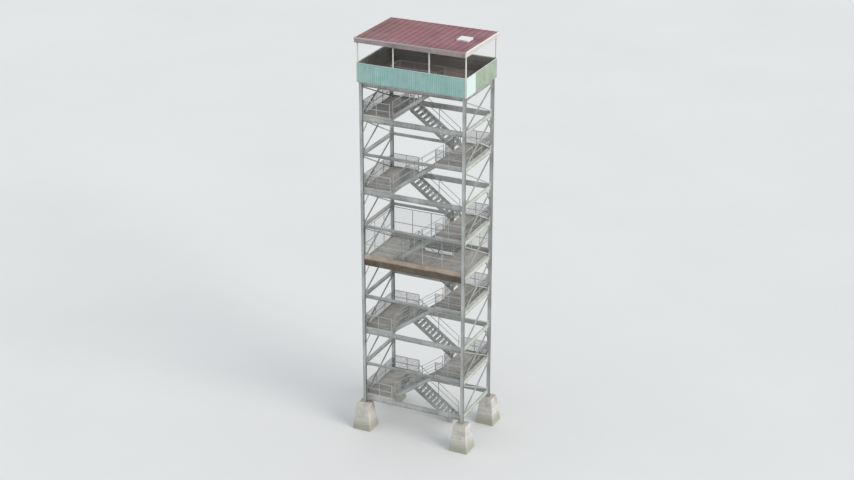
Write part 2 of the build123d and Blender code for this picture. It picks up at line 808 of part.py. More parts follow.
# Rafters: deeper to the front, so that the roof falls to the back, with two trimmers at the hatch
rafter_spacing = 2 * corner_post_x / (rafter_count - 1)
rafters_x = [-corner_post_x + index * rafter_spacing for index in range(rafter_count)]
hatch_bay = (rafters_x[-3], rafters_x[-2])
hatch_x = sum(hatch_bay) / 2
with BuildPart() as rafters:
    for rafter_x in rafters_x:
        with BuildSketch(facing_right(rafter_x)):
            Polygon((-rafter_end_y, rafter_foot), (rafter_end_y, rafter_foot),
                    (rafter_end_y, roof_top(rafter_end_y) - roof_sheet_thickness),
                    (-rafter_end_y, roof_top(-rafter_end_y) - roof_sheet_thickness), align=None)
        extrude(amount=rafter_width / 2, both=True)
    for turn in (-1, 1):
        near, far = sorted((turn * hatch_opening / 2, turn * (hatch_opening / 2 + rafter_width)))
        box((hatch_bay[0] + rafter_width / 2 + joint_gap, hatch_y + near, rafter_foot),
            (hatch_bay[1] - rafter_width / 2 - joint_gap, hatch_y + far,
             roof_top(hatch_y + far) - roof_sheet_thickness))
rafters.part.label = "roof_rafters"
export_step(rafters.part, "parts/roof_rafters.step")

# Roof sheet: one shallow slope with the hatch opening between two rafters
with BuildPart() as roof_sheet:
    with BuildSketch(facing_right(0)):
        Polygon((-rafter_end_y, roof_top(-rafter_end_y) - roof_sheet_thickness),
                (rafter_end_y, roof_top(rafter_end_y) - roof_sheet_thickness),
                (rafter_end_y, roof_top(rafter_end_y)),
                (-rafter_end_y, roof_top(-rafter_end_y)), align=None)
    extrude(amount=roof_half_x - fascia_thickness, both=True)
    with BuildSketch(Plane.XY.offset(rafter_foot)):
        with Locations((hatch_x, hatch_y)):
            Rectangle(hatch_opening, hatch_opening)
    extrude(amount=roof_top(-rafter_end_y) - rafter_foot, mode=Mode.SUBTRACT)
roof_sheet.part.label = "roof_sheet"
export_step(roof_sheet.part, "parts/roof_sheet.step")

# Fascias round the roof edge, the end ones cut to the slope
end_fascia_y = rafter_end_y - joint_gap
with BuildPart() as fascias:
    for side_y in (-1, 1):
        near, far = sorted((side_y * rafter_end_y, side_y * roof_half_y))
        fascia_top = roof_top(side_y * rafter_end_y) + fascia_lip
        box((-roof_half_x, near, fascia_top - fascia_depth), (roof_half_x, far, fascia_top))
    for side_x in (-1, 1):
        with BuildSketch(facing_right(side_x * (roof_half_x - fascia_thickness / 2))):
            front_top = roof_top(-end_fascia_y) + fascia_lip
            back_top = roof_top(end_fascia_y) + fascia_lip
            Polygon((-end_fascia_y, front_top - fascia_depth), (end_fascia_y, back_top - fascia_depth),
                    (end_fascia_y, back_top), (-end_fascia_y, front_top), align=None)
        extrude(amount=fascia_thickness / 2, both=True)
fascias.part.label = "roof_fascias"
export_step(fascias.part, "parts/roof_fascias.step")

# Roof hatch: a curb cut to the slope and a flat lid
curb_half = hatch_opening / 2 + hatch_curb_wall
curb_front = hatch_y - curb_half
curb_back = hatch_y + curb_half
curb_top = roof_top(curb_front) + hatch_curb_height
with BuildPart() as hatch_curb:
    with BuildSketch(facing_right(hatch_x)):
        Polygon((curb_front, roof_top(curb_front)), (curb_back, roof_top(curb_back)), (curb_back, curb_top),
                (curb_front, curb_top), align=None)
    extrude(amount=curb_half, both=True)
    with BuildSketch(Plane.XY.offset(curb_top)):
        with Locations((hatch_x, hatch_y)):
            Rectangle(hatch_opening, hatch_opening)
    extrude(amount=-2 * hatch_curb_height, mode=Mode.SUBTRACT)
hatch_curb.part.label = "roof_hatch_curb"
export_step(hatch_curb.part, "parts/roof_hatch_curb.step")

with BuildPart() as hatch_lid:
    with BuildSketch(Plane.XY.offset(curb_top)):
        with Locations((hatch_x, hatch_y)):
            Rectangle(2 * (curb_half + hatch_lid_overhang), 2 * (curb_half + hatch_lid_overhang))
    extrude(amount=hatch_lid_thickness)
    fillet(hatch_lid.edges().filter_by(Axis.Z), radius=hatch_lid_overhang)
hatch_lid.part.label = "roof_hatch_lid"
export_step(hatch_lid.part, "parts/roof_hatch_lid.step")
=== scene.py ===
"""Fire lookout tower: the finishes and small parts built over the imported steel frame.
Metres, +Z up; the front faces -Y and the long sides run along X."""

import math
import random

import bmesh
import bpy
from mathutils import Matrix, Vector


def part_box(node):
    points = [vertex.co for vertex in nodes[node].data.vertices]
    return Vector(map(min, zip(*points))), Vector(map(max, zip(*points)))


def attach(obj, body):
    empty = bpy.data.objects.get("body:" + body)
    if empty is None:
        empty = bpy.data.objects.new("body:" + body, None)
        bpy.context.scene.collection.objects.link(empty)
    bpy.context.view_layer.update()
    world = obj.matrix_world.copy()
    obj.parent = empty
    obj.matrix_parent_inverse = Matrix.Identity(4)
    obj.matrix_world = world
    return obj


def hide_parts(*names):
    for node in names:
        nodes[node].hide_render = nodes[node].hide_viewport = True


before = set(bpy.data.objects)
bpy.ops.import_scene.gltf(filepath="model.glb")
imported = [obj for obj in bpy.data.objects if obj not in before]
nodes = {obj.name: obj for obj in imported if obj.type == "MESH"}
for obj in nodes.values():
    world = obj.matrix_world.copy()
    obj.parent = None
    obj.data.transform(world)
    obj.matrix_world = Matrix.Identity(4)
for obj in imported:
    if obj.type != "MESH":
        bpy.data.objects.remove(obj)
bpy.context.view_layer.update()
scene = bpy.context.scene

# Camera: a long lens to the right of the front and well above the deck, where the photograph
# was taken from, with the whole tower in the frame.
camera_place = Vector((50.9, -106.7, 65.1))
camera_aim = Vector((0.0, 0.0, 14.45))
lens = bpy.data.cameras.new("camera")
lens.lens = 78.0
lens.clip_end = 3000.0
camera = bpy.data.objects.new("camera", lens)
camera.location = camera_place
camera.rotation_euler = (camera_aim - camera_place).to_track_quat("-Z", "Y").to_euler()
scene.collection.objects.link(camera)
scene.camera = camera
scene.view_settings.view_transform = "Standard"


# Floor and light: a plain pale floor that runs past the view, an even pale sky, and one broad
# soft lamp from the right end, which is the brighter side of the tower.
def add(tree, kind, inputs=None, **settings):
    """Adds a node; an input is given a value, or another node's socket to read."""
    made = tree.nodes.new("ShaderNode" + kind)
    for name, value in settings.items():
        setattr(made, name, value)
    for name, value in (inputs or {}).items():
        if isinstance(value, bpy.types.NodeSocket):
            tree.links.new(value, made.inputs[name])
        else:
            made.inputs[name].default_value = value
    return made


def new_finish(name, **sockets):
    """Starts a material: itself, its node tree, its shader and the place on the object."""
    made = bpy.data.materials.new(name)
    made.use_nodes = True
    shader = made.node_tree.nodes["Principled BSDF"]
    for socket, value in sockets.items():
        shader.inputs[socket.replace("_", " ")].default_value = value
    where = add(made.node_tree, "TexCoord").outputs["Object"]
    return made, made.node_tree, shader, where


def coordinate(tree, where, axis):
    """One coordinate of a place, in metres."""
    return add(tree, "SeparateXYZ", {"Vector": where}).outputs[axis]


def grain(tree, where, scale, detail=4.0, stretch=(1, 1, 1), kind="TexNoise", output=0):
    """Grey pattern at a scale per metre, stretched along the axes where asked."""
    spread = add(tree, "Mapping", {"Vector": where, "Scale": stretch}).outputs["Vector"]
    inputs = {"Vector": spread, "Scale": scale}
    if kind == "TexNoise":
        inputs |= {"Detail": detail, "Roughness": 0.6}
    return add(tree, kind, inputs).outputs[output]


def ramp(tree, factor, *stops):
    """Colours or greys along a factor, each stop as its place and its colour or grey."""
    made = add(tree, "ValToRGB", {"Fac": factor})
    elements = made.color_ramp.elements
    elements[0].position = stops[0][0]
    elements[1].position = stops[-1][0]
    for place, _ in stops[1:-1]:
        elements.new(place)
    for element, (_, shade) in zip(elements, stops):
        element.color = (*shade, 1) if isinstance(shade, tuple) else (shade, shade, shade, 1)
    return made.outputs["Color"]


def mix(tree, factor, low, high, blend="MIX"):
    """Two colours mixed by a factor; either may be a socket or a plain colour."""
    low, high = [(*c, 1) if isinstance(c, tuple) else c for c in (low, high)]
    return add(tree, "Mix", {0: factor, 6: low, 7: high}, data_type="RGBA", blend_type=blend).outputs[2]


def math_node(tree, kind, first, second=0.0):
    """One sum on two numbers or sockets."""
    return add(tree, "Math", {0: first, 1: second}, operation=kind).outputs[0]


def times(tree, first, second):
    """The product of two numbers or sockets."""
    return math_node(tree, "MULTIPLY", first, second)


def part_way(tree, value, start, end):
    """How far a value has gone from a start to an end, from 0 to 1."""
    return add(tree, "MapRange", {"Value": value, 1: start, 2: end}).outputs[0]


def patches(tree, where, scale, detail, none, full, stretch=(1, 1, 1)):
    """How much of a patchy covering lies on a place, from 0 to 1."""
    return ramp(tree, grain(tree, where, scale, detail, stretch), (none, 0.0), (full, 1.0))


def coat(tree, shader, colour, height, strength, distance, rough=None):
    """Gives a shader its colour, a bump with its depth in metres and, where asked, a roughness."""
    tree.links.new(colour, shader.inputs["Base Color"])
    bump = add(tree, "Bump", {"Height": height, "Strength": strength, "Distance": distance})
    tree.links.new(bump.outputs["Normal"], shader.inputs["Normal"])
    if rough:
        tree.links.new(rough, shader.inputs["Roughness"])


floor_finish, tree, shader, where = new_finish("floor", Roughness=0.9)
floor_shade = ramp(tree, grain(tree, where, 0.05), (0.3, 0.76), (0.7, 0.79))
tree.links.new(floor_shade, shader.inputs["Base Color"])
mesh = bmesh.new()
bmesh.ops.create_circle(mesh, cap_ends=True, segments=96, radius=1500.0)
floor_mesh = bpy.data.meshes.new("floor")
mesh.to_mesh(floor_mesh)
mesh.free()
floor_mesh.materials.append(floor_finish)
floor = bpy.data.objects.new("floor", floor_mesh)
scene.collection.objects.link(floor)

sky = bpy.data.worlds.new("sky")
sky.use_nodes = True
sky.node_tree.nodes["Background"].inputs["Color"].default_value = (0.93, 0.97, 1.0, 1)
sky.node_tree.nodes["Background"].inputs["Strength"].default_value = 0.78
scene.world = sky
key = bpy.data.lights.new("key", "SUN")
key.energy = 1.75
key.angle = math.radians(35)
key.color = (1.0, 0.97, 0.92)
key_lamp = bpy.data.objects.new("key", key)
light_way = Vector((-0.90, 0.20, -0.48))
key_lamp.rotation_euler = light_way.to_track_quat("-Z", "Y").to_euler()
scene.collection.objects.link(key_lamp)


# Concrete piers: poured in place in board forms, battered on all four sides, chamfered at the
# edges and weathered grey, with rust washed down from the steel and damp near the ground.
def dress(finish, *names):
    """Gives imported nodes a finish."""
    for name in names:
        nodes[name].material_slots[0].material = finish


def piece(name, mesh, finish, slot, *replaced):
    """Makes a new piece from a bmesh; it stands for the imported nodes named."""
    data = bpy.data.meshes.new(name)
    mesh.to_mesh(data)
    mesh.free()
    data.materials.append(finish)
    made = bpy.data.objects.new(name, data)
    scene.collection.objects.link(made)
    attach(made, "root")
    if replaced:
        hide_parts(*replaced)


def bevel(mesh, edges, width, segments=1):
    """Eases the edges given."""
    return bmesh.ops.bevel(mesh, geom=edges, offset=width, offset_type="OFFSET", segments=segments,
                           profile=0.5, affect="EDGES", clamp_overlap=True, material=-1)


def sharp_edges(mesh):
    """The edges between faces that meet at a clear angle."""
    return [e for e in mesh.edges if e.is_manifold and e.calc_face_angle() > math.radians(25)]


def eased(name, width):
    """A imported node's mesh, its facets joined into whole faces and its sharp edges eased."""
    mesh = bmesh.new()
    mesh.from_mesh(nodes[name].data)
    bmesh.ops.remove_doubles(mesh, verts=mesh.verts, dist=0.0002)
    bmesh.ops.dissolve_limit(mesh, angle_limit=math.radians(2), verts=mesh.verts, edges=mesh.edges)
    bevel(mesh, sharp_edges(mesh), width)
    return mesh


rust_foot, rust_head = 1.1, 2.0
concrete, tree, shader, where = new_finish("weathered concrete", Roughness=0.9)
height = coordinate(tree, where, "Z")
mottle = grain(tree, where, 1.7, 8)
tone = ramp(tree, mottle, (0.25, (0.42, 0.40, 0.36)), (0.5, (0.60, 0.585, 0.54)),
            (0.75, (0.70, 0.69, 0.65)))
boards = grain(tree, where, 1.0, 2, (0.6, 0.6, 7.0))
tone = mix(tree, 0.35, tone, ramp(tree, boards, (0.35, 0.55), (0.65, 0.95)), "MULTIPLY")
streak = patches(tree, where, 1.0, 5, 0.5, 0.72, (8, 8, 0.5))
near_top = part_way(tree, height, rust_foot, rust_head)
tone = mix(tree, times(tree, streak, near_top), tone, (0.34, 0.20, 0.11))
damp = ramp(tree, math_node(tree, "SUBTRACT", height, times(tree, mottle, 0.7)),
            (0.0, 0.8), (0.45, 0.0))
tone = mix(tree, damp, tone, (0.33, 0.33, 0.26))
pores = ramp(tree, grain(tree, where, 26.0, kind="TexVoronoi"), (0.0, 0.0), (0.16, 1.0))
coat(tree, shader, tone, math_node(tree, "ADD", times(tree, boards, 1.6), pores), 0.5, 0.006)
piece("pier_blocks", eased("concrete_piers", 0.03), concrete, "concrete", "concrete_piers")


# Galvanised steel of the frame: dull zinc with a faint spangle, paler and darker patches, dirt
# washed down below each level's beams, and small rust blooms. The beams of the right end are a
# paler, chalky, faintly green white copy of the zinc, as painted sunlight.
storey = 2.6416


def zinc_finish(name, dark, plain, pale):
    """Dull zinc in three tones, with spangle, washed dirt and rust blooms."""
    made, tree, shader, where = new_finish(name, Metallic=0.3)
    weather = grain(tree, where, 0.7, 7)
    tone = ramp(tree, weather, (0.28, dark), (0.5, plain), (0.72, pale))
    spangle = ramp(tree, grain(tree, where, 24.0, kind="TexVoronoi", output=1), (0.0, 0.40), (1.0, 0.60))
    tone = mix(tree, 0.5, tone, spangle, "OVERLAY")
    streak = patches(tree, where, 1.0, 5, 0.42, 0.68, (10, 10, 0.45))
    in_storey = math_node(tree, "FRACT", math_node(tree, "DIVIDE", coordinate(tree, where, "Z"), storey))
    below_beam = ramp(tree, in_storey, (0.35, 0.1), (0.84, 1.0), (0.95, 0.35))
    dirt = times(tree, times(tree, streak, below_beam), 0.6)
    tone = mix(tree, dirt, tone, (0.19, 0.185, 0.15))
    rust = times(tree, patches(tree, where, 4.5, 9, 0.62, 0.70), patches(tree, where, 0.5, 3, 0.5, 0.62))
    rough = math_node(tree, "ADD", ramp(tree, weather, (0.3, 0.62), (0.7, 0.42)), times(tree, rust, 0.3))
    coat(tree, shader, mix(tree, rust, tone, (0.30, 0.135, 0.06)), grain(tree, where, 60.0, 5),
         0.25, 0.002, rough)
    return made


zinc = zinc_finish("galvanised steel", (0.34, 0.355, 0.35), (0.46, 0.475, 0.465), (0.57, 0.585, 0.57))
# Painted sunlight: a paler copy of the zinc for the beams of the right end.
sunlit_zinc = zinc_finish("zinc with painted sunlight", (0.51, 0.535, 0.49), (0.64, 0.67, 0.615),
                        (0.74, 0.765, 0.715))
dress(zinc, "base_plates", "column_front_left", "column_front_right", "column_back_left",
      "column_back_right", "front_beams", "back_beams", "left_beams", "deck_girders",
      "brace_gussets", "left_braces", "right_braces", "knee_braces", "landing_beams",
      "middle_platform_screens", "left_landing_guards", "right_landing_guards", "stairwell_guards",
      "front_stringers", "back_stringers", "front_handrails", "back_handrails", "deck_joists",
      "deck_edge_plates", "parapet_girts")
dress(sunlit_zinc, "right_beams")


def steel(name, mesh, finish=zinc):
    """Makes a new piece of galvanised steel."""
    piece(name, mesh, finish, "galvanised")


# Base plates: each is bedded on a grout pad and held down by four anchor bolts, with a washer
# and a nut on each thread.
def ordered(first, last):
    """The lowest and the highest corner between two opposite ones."""
    return tuple(zip(*map(sorted, zip(first, last))))


def block(mesh, first, last):
    """Adds an upright block between two opposite corners."""
    low, high = map(Vector, ordered(first, last))
    place = Matrix.Translation((low + high) / 2) @ Matrix.Diagonal((*(high - low), 1))
    return bmesh.ops.create_cube(mesh, size=1, matrix=place)["verts"]


def rod(mesh, start, end, radius, sides=6, tip=None):
    """Adds a round bar, or a taper where its tip has another radius."""
    start, end = Vector(start), Vector(end)
    run = end - start
    place = Matrix.Translation((start + end) / 2) @ run.to_track_quat("Z", "Y").to_matrix().to_4x4()
    bmesh.ops.create_cone(mesh, cap_ends=True, segments=sides, radius1=radius, depth=run.length,
                          radius2=radius if tip is None else tip, matrix=place)


washer_metal = 0.005


def bolt(mesh, place, out, width):
    """Adds a hexagon head on its washer, on a face that looks along out."""
    place, out = Vector(place), Vector(out).normalized()
    washer_face = place + out * washer_metal
    rod(mesh, place, washer_face, width * 0.68, 8)
    rod(mesh, washer_face, washer_face + out * width * 0.5, width * 0.52, 6)


half_x, half_y = 3.81, 2.286
corners = [(-1, -1), (1, -1), (-1, 1), (1, 1)]
pier_top, plate_top = [corner.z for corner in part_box("base_plates")]
pad_half, pad_sunk, pad_height, pad_taper = 0.235, 0.002, 0.018, 0.9
anchor_half = 0.155
washer_top, nut_top, thread_top = plate_top + 0.006, plate_top + 0.030, plate_top + 0.062
washer_radius, nut_radius, thread_radius, thread_tip = 0.032, 0.024, 0.013, 0.010
pads = bmesh.new()
anchors = bmesh.new()
for side_x, side_y in corners:
    column_x, column_y = side_x * half_x, side_y * half_y
    pad = block(pads, (column_x - pad_half, column_y - pad_half, pier_top - pad_sunk),
                (column_x + pad_half, column_y + pad_half, pier_top + pad_height))
    for corner in pad:
        if corner.co.z > pier_top:
            corner.co.x = column_x + (corner.co.x - column_x) * pad_taper
            corner.co.y = column_y + (corner.co.y - column_y) * pad_taper
    for across, along in corners:
        x, y = column_x + across * anchor_half, column_y + along * anchor_half
        rod(anchors, (x, y, plate_top), (x, y, washer_top), washer_radius, 12)
        rod(anchors, (x, y, washer_top), (x, y, nut_top), nut_radius, 6)
        rod(anchors, (x, y, nut_top), (x, y, thread_top), thread_radius, 10, thread_tip)
piece("grout_pads", pads, concrete, "concrete")
steel("anchor_bolts", anchors)

# Column splices: the columns come in three lengths, joined by flange plates with eight bolts
# on each face, 1.4 m over a level's floor, where they clear the guards.
flange_out = 0.1015
splice_middles = (9.36, 17.30)
splice_half_width, splice_half_height, splice_metal, splice_easing = 0.09, 0.21, 0.012, 0.003
splice_columns, splice_rows, splice_head = (-0.055, 0.055), (-0.16, -0.09, 0.09, 0.16), 0.034
mesh = bmesh.new()
heads = bmesh.new()
for side_x, side_y in corners:
    for middle in splice_middles:
        for turn in (-1, 1):
            x, face = side_x * half_x, side_y * half_y + turn * flange_out
            plate_face = face + turn * splice_metal
            block(mesh, (x - splice_half_width, face, middle - splice_half_height),
                  (x + splice_half_width, plate_face, middle + splice_half_height))
            for across in splice_columns:
                for up in splice_rows:
                    bolt(heads, (x + across, plate_face, middle + up), (0, turn, 0), splice_head)
bevel(mesh, list(mesh.edges), splice_easing)
steel("column_splice_plates", mesh)
steel("column_splice_bolts", heads)

# Beam clips: short angles join each beam's end to its column, one behind a long beam and one on
# each face of a side beam, bolted through both legs; the deep beams have one row of bolts more.
floor_depth = 0.038
girder_top = 26.226
deep, shallow, side_beam = 0.381, 0.203, 0.254
long_back, long_metal, side_web = 2.243, 0.012, 0.011
column_web_face = half_x - 0.0045
column_flange_face = half_y - flange_out
levels = [(level * storey - floor_depth, deep if level % 2 else shallow, side_beam)
          for level in range(1, 10)]
levels.append((girder_top, deep, deep))


def clip(mesh, heads, corner, turns, middle, half, rows=(0.0,), legs=(0.070, 0.070),
         holes=(0.045, 0.045), metal=0.006, head=0.022):
    """Adds an upright angle in a corner of the plan, with a bolt through each leg at every row."""
    (x, y), (turn_x, turn_y) = corner, turns
    block(mesh, (x, y, middle - half), (x + turn_x * legs[0], y + turn_y * metal, middle + half))
    block(mesh, (x, y, middle - half), (x + turn_x * metal, y + turn_y * legs[1], middle + half))
    for up in rows:
        bolt(heads, (x + turn_x * holes[0], y + turn_y * metal, middle + up), (0, turn_y, 0), head)
        bolt(heads, (x + turn_x * metal, y + turn_y * holes[1], middle + up), (turn_x, 0, 0), head)


long_clip = {"legs": (0.090, 0.068), "holes": (0.055, 0.042), "metal": 0.008, "head": 0.028}
side_clip = {"legs": (0.075, 0.090), "holes": (0.046, 0.055), "metal": 0.008, "head": 0.028}
long_rows = {deep: (-0.09, 0.0, 0.09), shallow: (-0.035, 0.035)}
side_rows = {deep: (-0.08, 0.0, 0.08), side_beam: (-0.045, 0.045)}
mesh = bmesh.new()
heads = bmesh.new()
for side_x, side_y in corners:
    for top, long_depth, side_depth in levels:
        corner = (side_x * column_web_face, side_y * (long_back + long_metal))
        clip(mesh, heads, corner, (-side_x, side_y), top - long_depth / 2, long_depth * 0.34,
             long_rows[long_depth], **long_clip)
        for turn in (-1, 1):
            corner = (side_x * half_x + turn * side_web / 2, side_y * column_flange_face)
            clip(mesh, heads, corner, (turn, -side_y), top - side_depth / 2, side_depth * 0.32,
                 side_rows[side_depth], **side_clip)
steel("beam_clips", mesh)
steel("beam_bolts", heads)

# Brace bolts: three at each end of every brace angle, through the leg that lies on its gusset,
# and one where the pair crosses, through a packing disc as thick as the gussets.
brace_end, brace_face = 0.120, 0.013
brace_holes, brace_head = (0.035, 0.095, 0.155), 0.026
brace_reach = column_flange_face - brace_end
packing, packing_radius = Vector((0.005, 0, 0)), 0.034
heads = bmesh.new()
for side_x in (-1, 1):
    for (lower_top, _, _), (upper_top, _, upper_depth) in zip(levels[:-1], levels[1:]):
        foot, head = lower_top + brace_end, upper_top - upper_depth - brace_end
        for turn in (-1, 1):
            start = Vector((side_x * half_x + turn * brace_face, -turn * brace_reach, foot))
            end = Vector((start.x, turn * brace_reach, head))
            run = (end - start).normalized()
            for place, step in ((start, run), (end, -run)):
                for distance in brace_holes:
                    bolt(heads, place + step * distance, (turn, 0, 0), brace_head)
            bolt(heads, (start + end) / 2, (turn, 0, 0), brace_head)
        crossing = Vector((side_x * half_x, 0, (foot + head) / 2))
        rod(heads, crossing - packing, crossing + packing, packing_radius, 16)
steel("brace_bolts", heads)

# Landing floors: planks laid along the tower on the landing's beams, bleached pinkish grey by the
# sun, each with its own tone and its ends sawn a little out of line, and spiked down at both ends.
plank_width, plank_gap = 0.146, 0.006
plank_easing, plank_spread = 0.003, 0.0015
lengthwise, crosswise = 0, 1
pick = random.Random(7)


def plank(mesh, first, last, top, depth, along, uneven=0.004):
    """Adds one plank with eased edges; its tone is kept on its faces for the finish."""
    low, high = map(list, ordered(first, last))
    low[along] += pick.uniform(0, uneven)
    high[along] -= pick.uniform(0, uneven)
    layers = mesh.faces.layers.float
    tone_layer = layers.get("plank_tone") or layers.new("plank_tone")
    corner = block(mesh, (*low, top - depth), (*high, top - pick.uniform(0, plank_spread)))
    made = bevel(mesh, list({edge for vertex in corner for edge in vertex.link_edges}), plank_easing)
    shade = pick.random()
    for face in {face for vertex in made["verts"] for face in vertex.link_faces}:
        face[tone_layer] = shade


def plank_rows(width):
    """How many whole planks cover a width, and their spacing."""
    count = round((width + plank_gap) / (plank_width + plank_gap))
    return count, (width + plank_gap) / count


def plank_floor(mesh, first, last, top, along):
    """Adds planks side by side between two corners of a floor's plan."""
    low, high = ordered(first, last)
    across = 1 - along
    count, pitch = plank_rows(high[across] - low[across])
    for index in range(count):
        start, end = list(low), list(high)
        start[across] = low[across] + index * pitch
        end[across] = start[across] + pitch - plank_gap
        plank(mesh, start, end, top, floor_depth, along)


def plank_finish(name, stretch, dark, plain, pale):
    """Weathered wood in three tones, its grain drawn out along the planks, with checks and stains."""
    made, tree, shader, where = new_finish(name)
    lines = grain(tree, where, 2.2, 9, stretch)
    tone = ramp(tree, lines, (0.30, dark), (0.5, plain), (0.72, pale))
    each = add(tree, "Attribute", attribute_name="plank_tone").outputs["Fac"]
    each_tone = ramp(tree, each, (0.0, (0.62, 0.61, 0.60)), (0.5, (0.86, 0.84, 0.83)),
                     (1.0, (1.0, 0.98, 0.96)))
    tone = mix(tree, 0.65, tone, each_tone, "MULTIPLY")
    stain = patches(tree, where, 1.6, 8, 0.50, 0.70)
    tone = mix(tree, times(tree, stain, 0.42), tone, (0.20, 0.175, 0.145))
    checks = ramp(tree, grain(tree, where, 11.0, 3, stretch), (0.30, 1.0), (0.37, 0.0))
    tone = mix(tree, times(tree, checks, 0.6), tone, (0.13, 0.105, 0.085))
    coat(tree, shader, tone, math_node(tree, "SUBTRACT", lines, checks), 0.45, 0.0025,
         ramp(tree, lines, (0.3, 0.90), (0.7, 0.74)))
    return made


bleached_tones = (0.43, 0.402, 0.378), (0.61, 0.580, 0.552), (0.73, 0.704, 0.680)
planks_lengthwise = plank_finish("bleached planks, lengthwise", (0.5, 7, 7), *bleached_tones)
flight_end = 1.6764
floor_end, notch_x, notch_y = 3.800, 3.7035, 2.1795
bearers = (flight_end + 0.032, 3.770)
spike_radius, spike_head = 0.006, Vector((0, 0, 0.0022))
spike_sunk, spike_shares = 0.001, (0.27, 0.69)
spikes = bmesh.new()


def end_floor(mesh, side_x, level, start):
    """Adds a landing's planks: between the column notches, and the short ones beside them."""
    top = level * storey
    plank_floor(mesh, (side_x * start, -notch_y), (side_x * floor_end, notch_y), top, lengthwise)
    for side_y in (-1, 1):
        plank_floor(mesh, (side_x * start, side_y * (notch_y + plank_gap)),
                    (side_x * notch_x, side_y * half_y), top, lengthwise)
    count, pitch = plank_rows(2 * notch_y)
    for index in range(count):
        for share in spike_shares:
            for bearer in bearers:
                spot = Vector((side_x * bearer, -notch_y + (index + share) * pitch, top - spike_sunk))
                rod(spikes, spot, spot + spike_head, spike_radius)


for side_x, name in ((-1, "left_landings"), (1, "right_landings")):
    mesh = bmesh.new()
    for level in range(1 if side_x < 0 else 2, 10, 2):
        end_floor(mesh, side_x, level, flight_end)
    piece(name + "_planks", mesh, planks_lengthwise, "planks", name)

# Middle platform floor: the same planks over the right end, and planks across the tower over the
# platform's joists in the middle.
planks_crosswise = plank_finish("bleached planks, crosswise", (7, 0.5, 7), *bleached_tones)
lane_inner = 0.733
floor_clear = 0.004
middle_z = 5 * storey
mesh = bmesh.new()
end_floor(mesh, 1, 5, flight_end + floor_clear)
piece("platform_end_planks", mesh, planks_lengthwise, "planks", "middle_platform_floor")
mesh = bmesh.new()
plank_floor(mesh, (-flight_end + floor_clear, -half_y), (flight_end - floor_clear, lane_inner),
            middle_z, crosswise)
piece("platform_middle_planks", mesh, planks_crosswise, "planks")
steel("floor_spikes", spikes)

# Stair treads: two planks each on steel angle cleats, which are bolted through the stringers; a
# coach bolt at each end holds each plank down on its cleat. The wood has weathered silver grey,
# and is painted darker and cooler than the landings' planks as painted shade from the floors above.
planks_in_painted_shade = plank_finish("silver-grey treads", (7, 0.5, 7), (0.335, 0.36, 0.365),
                             (0.475, 0.505, 0.51), (0.585, 0.61, 0.615))
tread_inner, tread_outer = 0.797, 1.939
riser, run_length, tread_depth, nosing = 0.2032, 0.2794, 0.032, 0.019
stringer_metal = 0.009
cleat_leg, cleat_metal, cleat_inset, cleat_hole = 0.050, 0.006, 0.04, 0.028
cleat_bolts, cleat_head = (0.08, 0.21), 0.02
coach_foot, coach_head, coach_radius = 0.001, 0.003, 0.010
for side_y, high_side, name in ((-1, 1, "front"), (1, -1, "back")):
    mesh = bmesh.new()
    cleats = bmesh.new()
    heads = bmesh.new()
    for level in range(2 if side_y < 0 else 1, 11, 2):
        for step in range(1, 13):
            front = -flight_end + (step - 1) * run_length - (nosing if step > 1 else 0.0)
            back = -flight_end + step * run_length
            middle = (front + back) / 2
            top = (level - 1) * storey + step * riser
            under = top - tread_depth
            for start, end in ((front, middle - plank_gap / 2), (middle + plank_gap / 2, back)):
                plank(mesh, (high_side * start, side_y * tread_inner),
                      (high_side * end, side_y * tread_outer), top, tread_depth, crosswise, 0.0)
                x = high_side * (start + end) / 2
                for reach in (tread_inner + cleat_hole, tread_outer - cleat_hole):
                    y = side_y * reach
                    rod(heads, (x, y, top - coach_foot), (x, y, top + coach_head), coach_radius, 8)
            low_x, high_x = high_side * (front + cleat_inset), high_side * (back - cleat_inset)
            for wall, turn in ((tread_inner, 1), (tread_outer, -1)):
                block(cleats, (low_x, side_y * wall, under - cleat_metal),
                      (high_x, side_y * (wall + turn * cleat_leg), under))
                block(cleats, (low_x, side_y * wall, under - cleat_leg),
                      (high_x, side_y * (wall + turn * cleat_metal), under - cleat_metal))
                for along in cleat_bolts:
                    spot = (high_side * (front + along), side_y * (wall - turn * stringer_metal),
                            under - cleat_hole)
                    bolt(heads, spot, (0, -turn * side_y, 0), cleat_head)
    piece(name + "_tread_planks", mesh, planks_in_painted_shade, "planks", name + "_treads")
    steel(name + "_tread_cleats", cleats)
    steel(name + "_tread_bolts", heads)

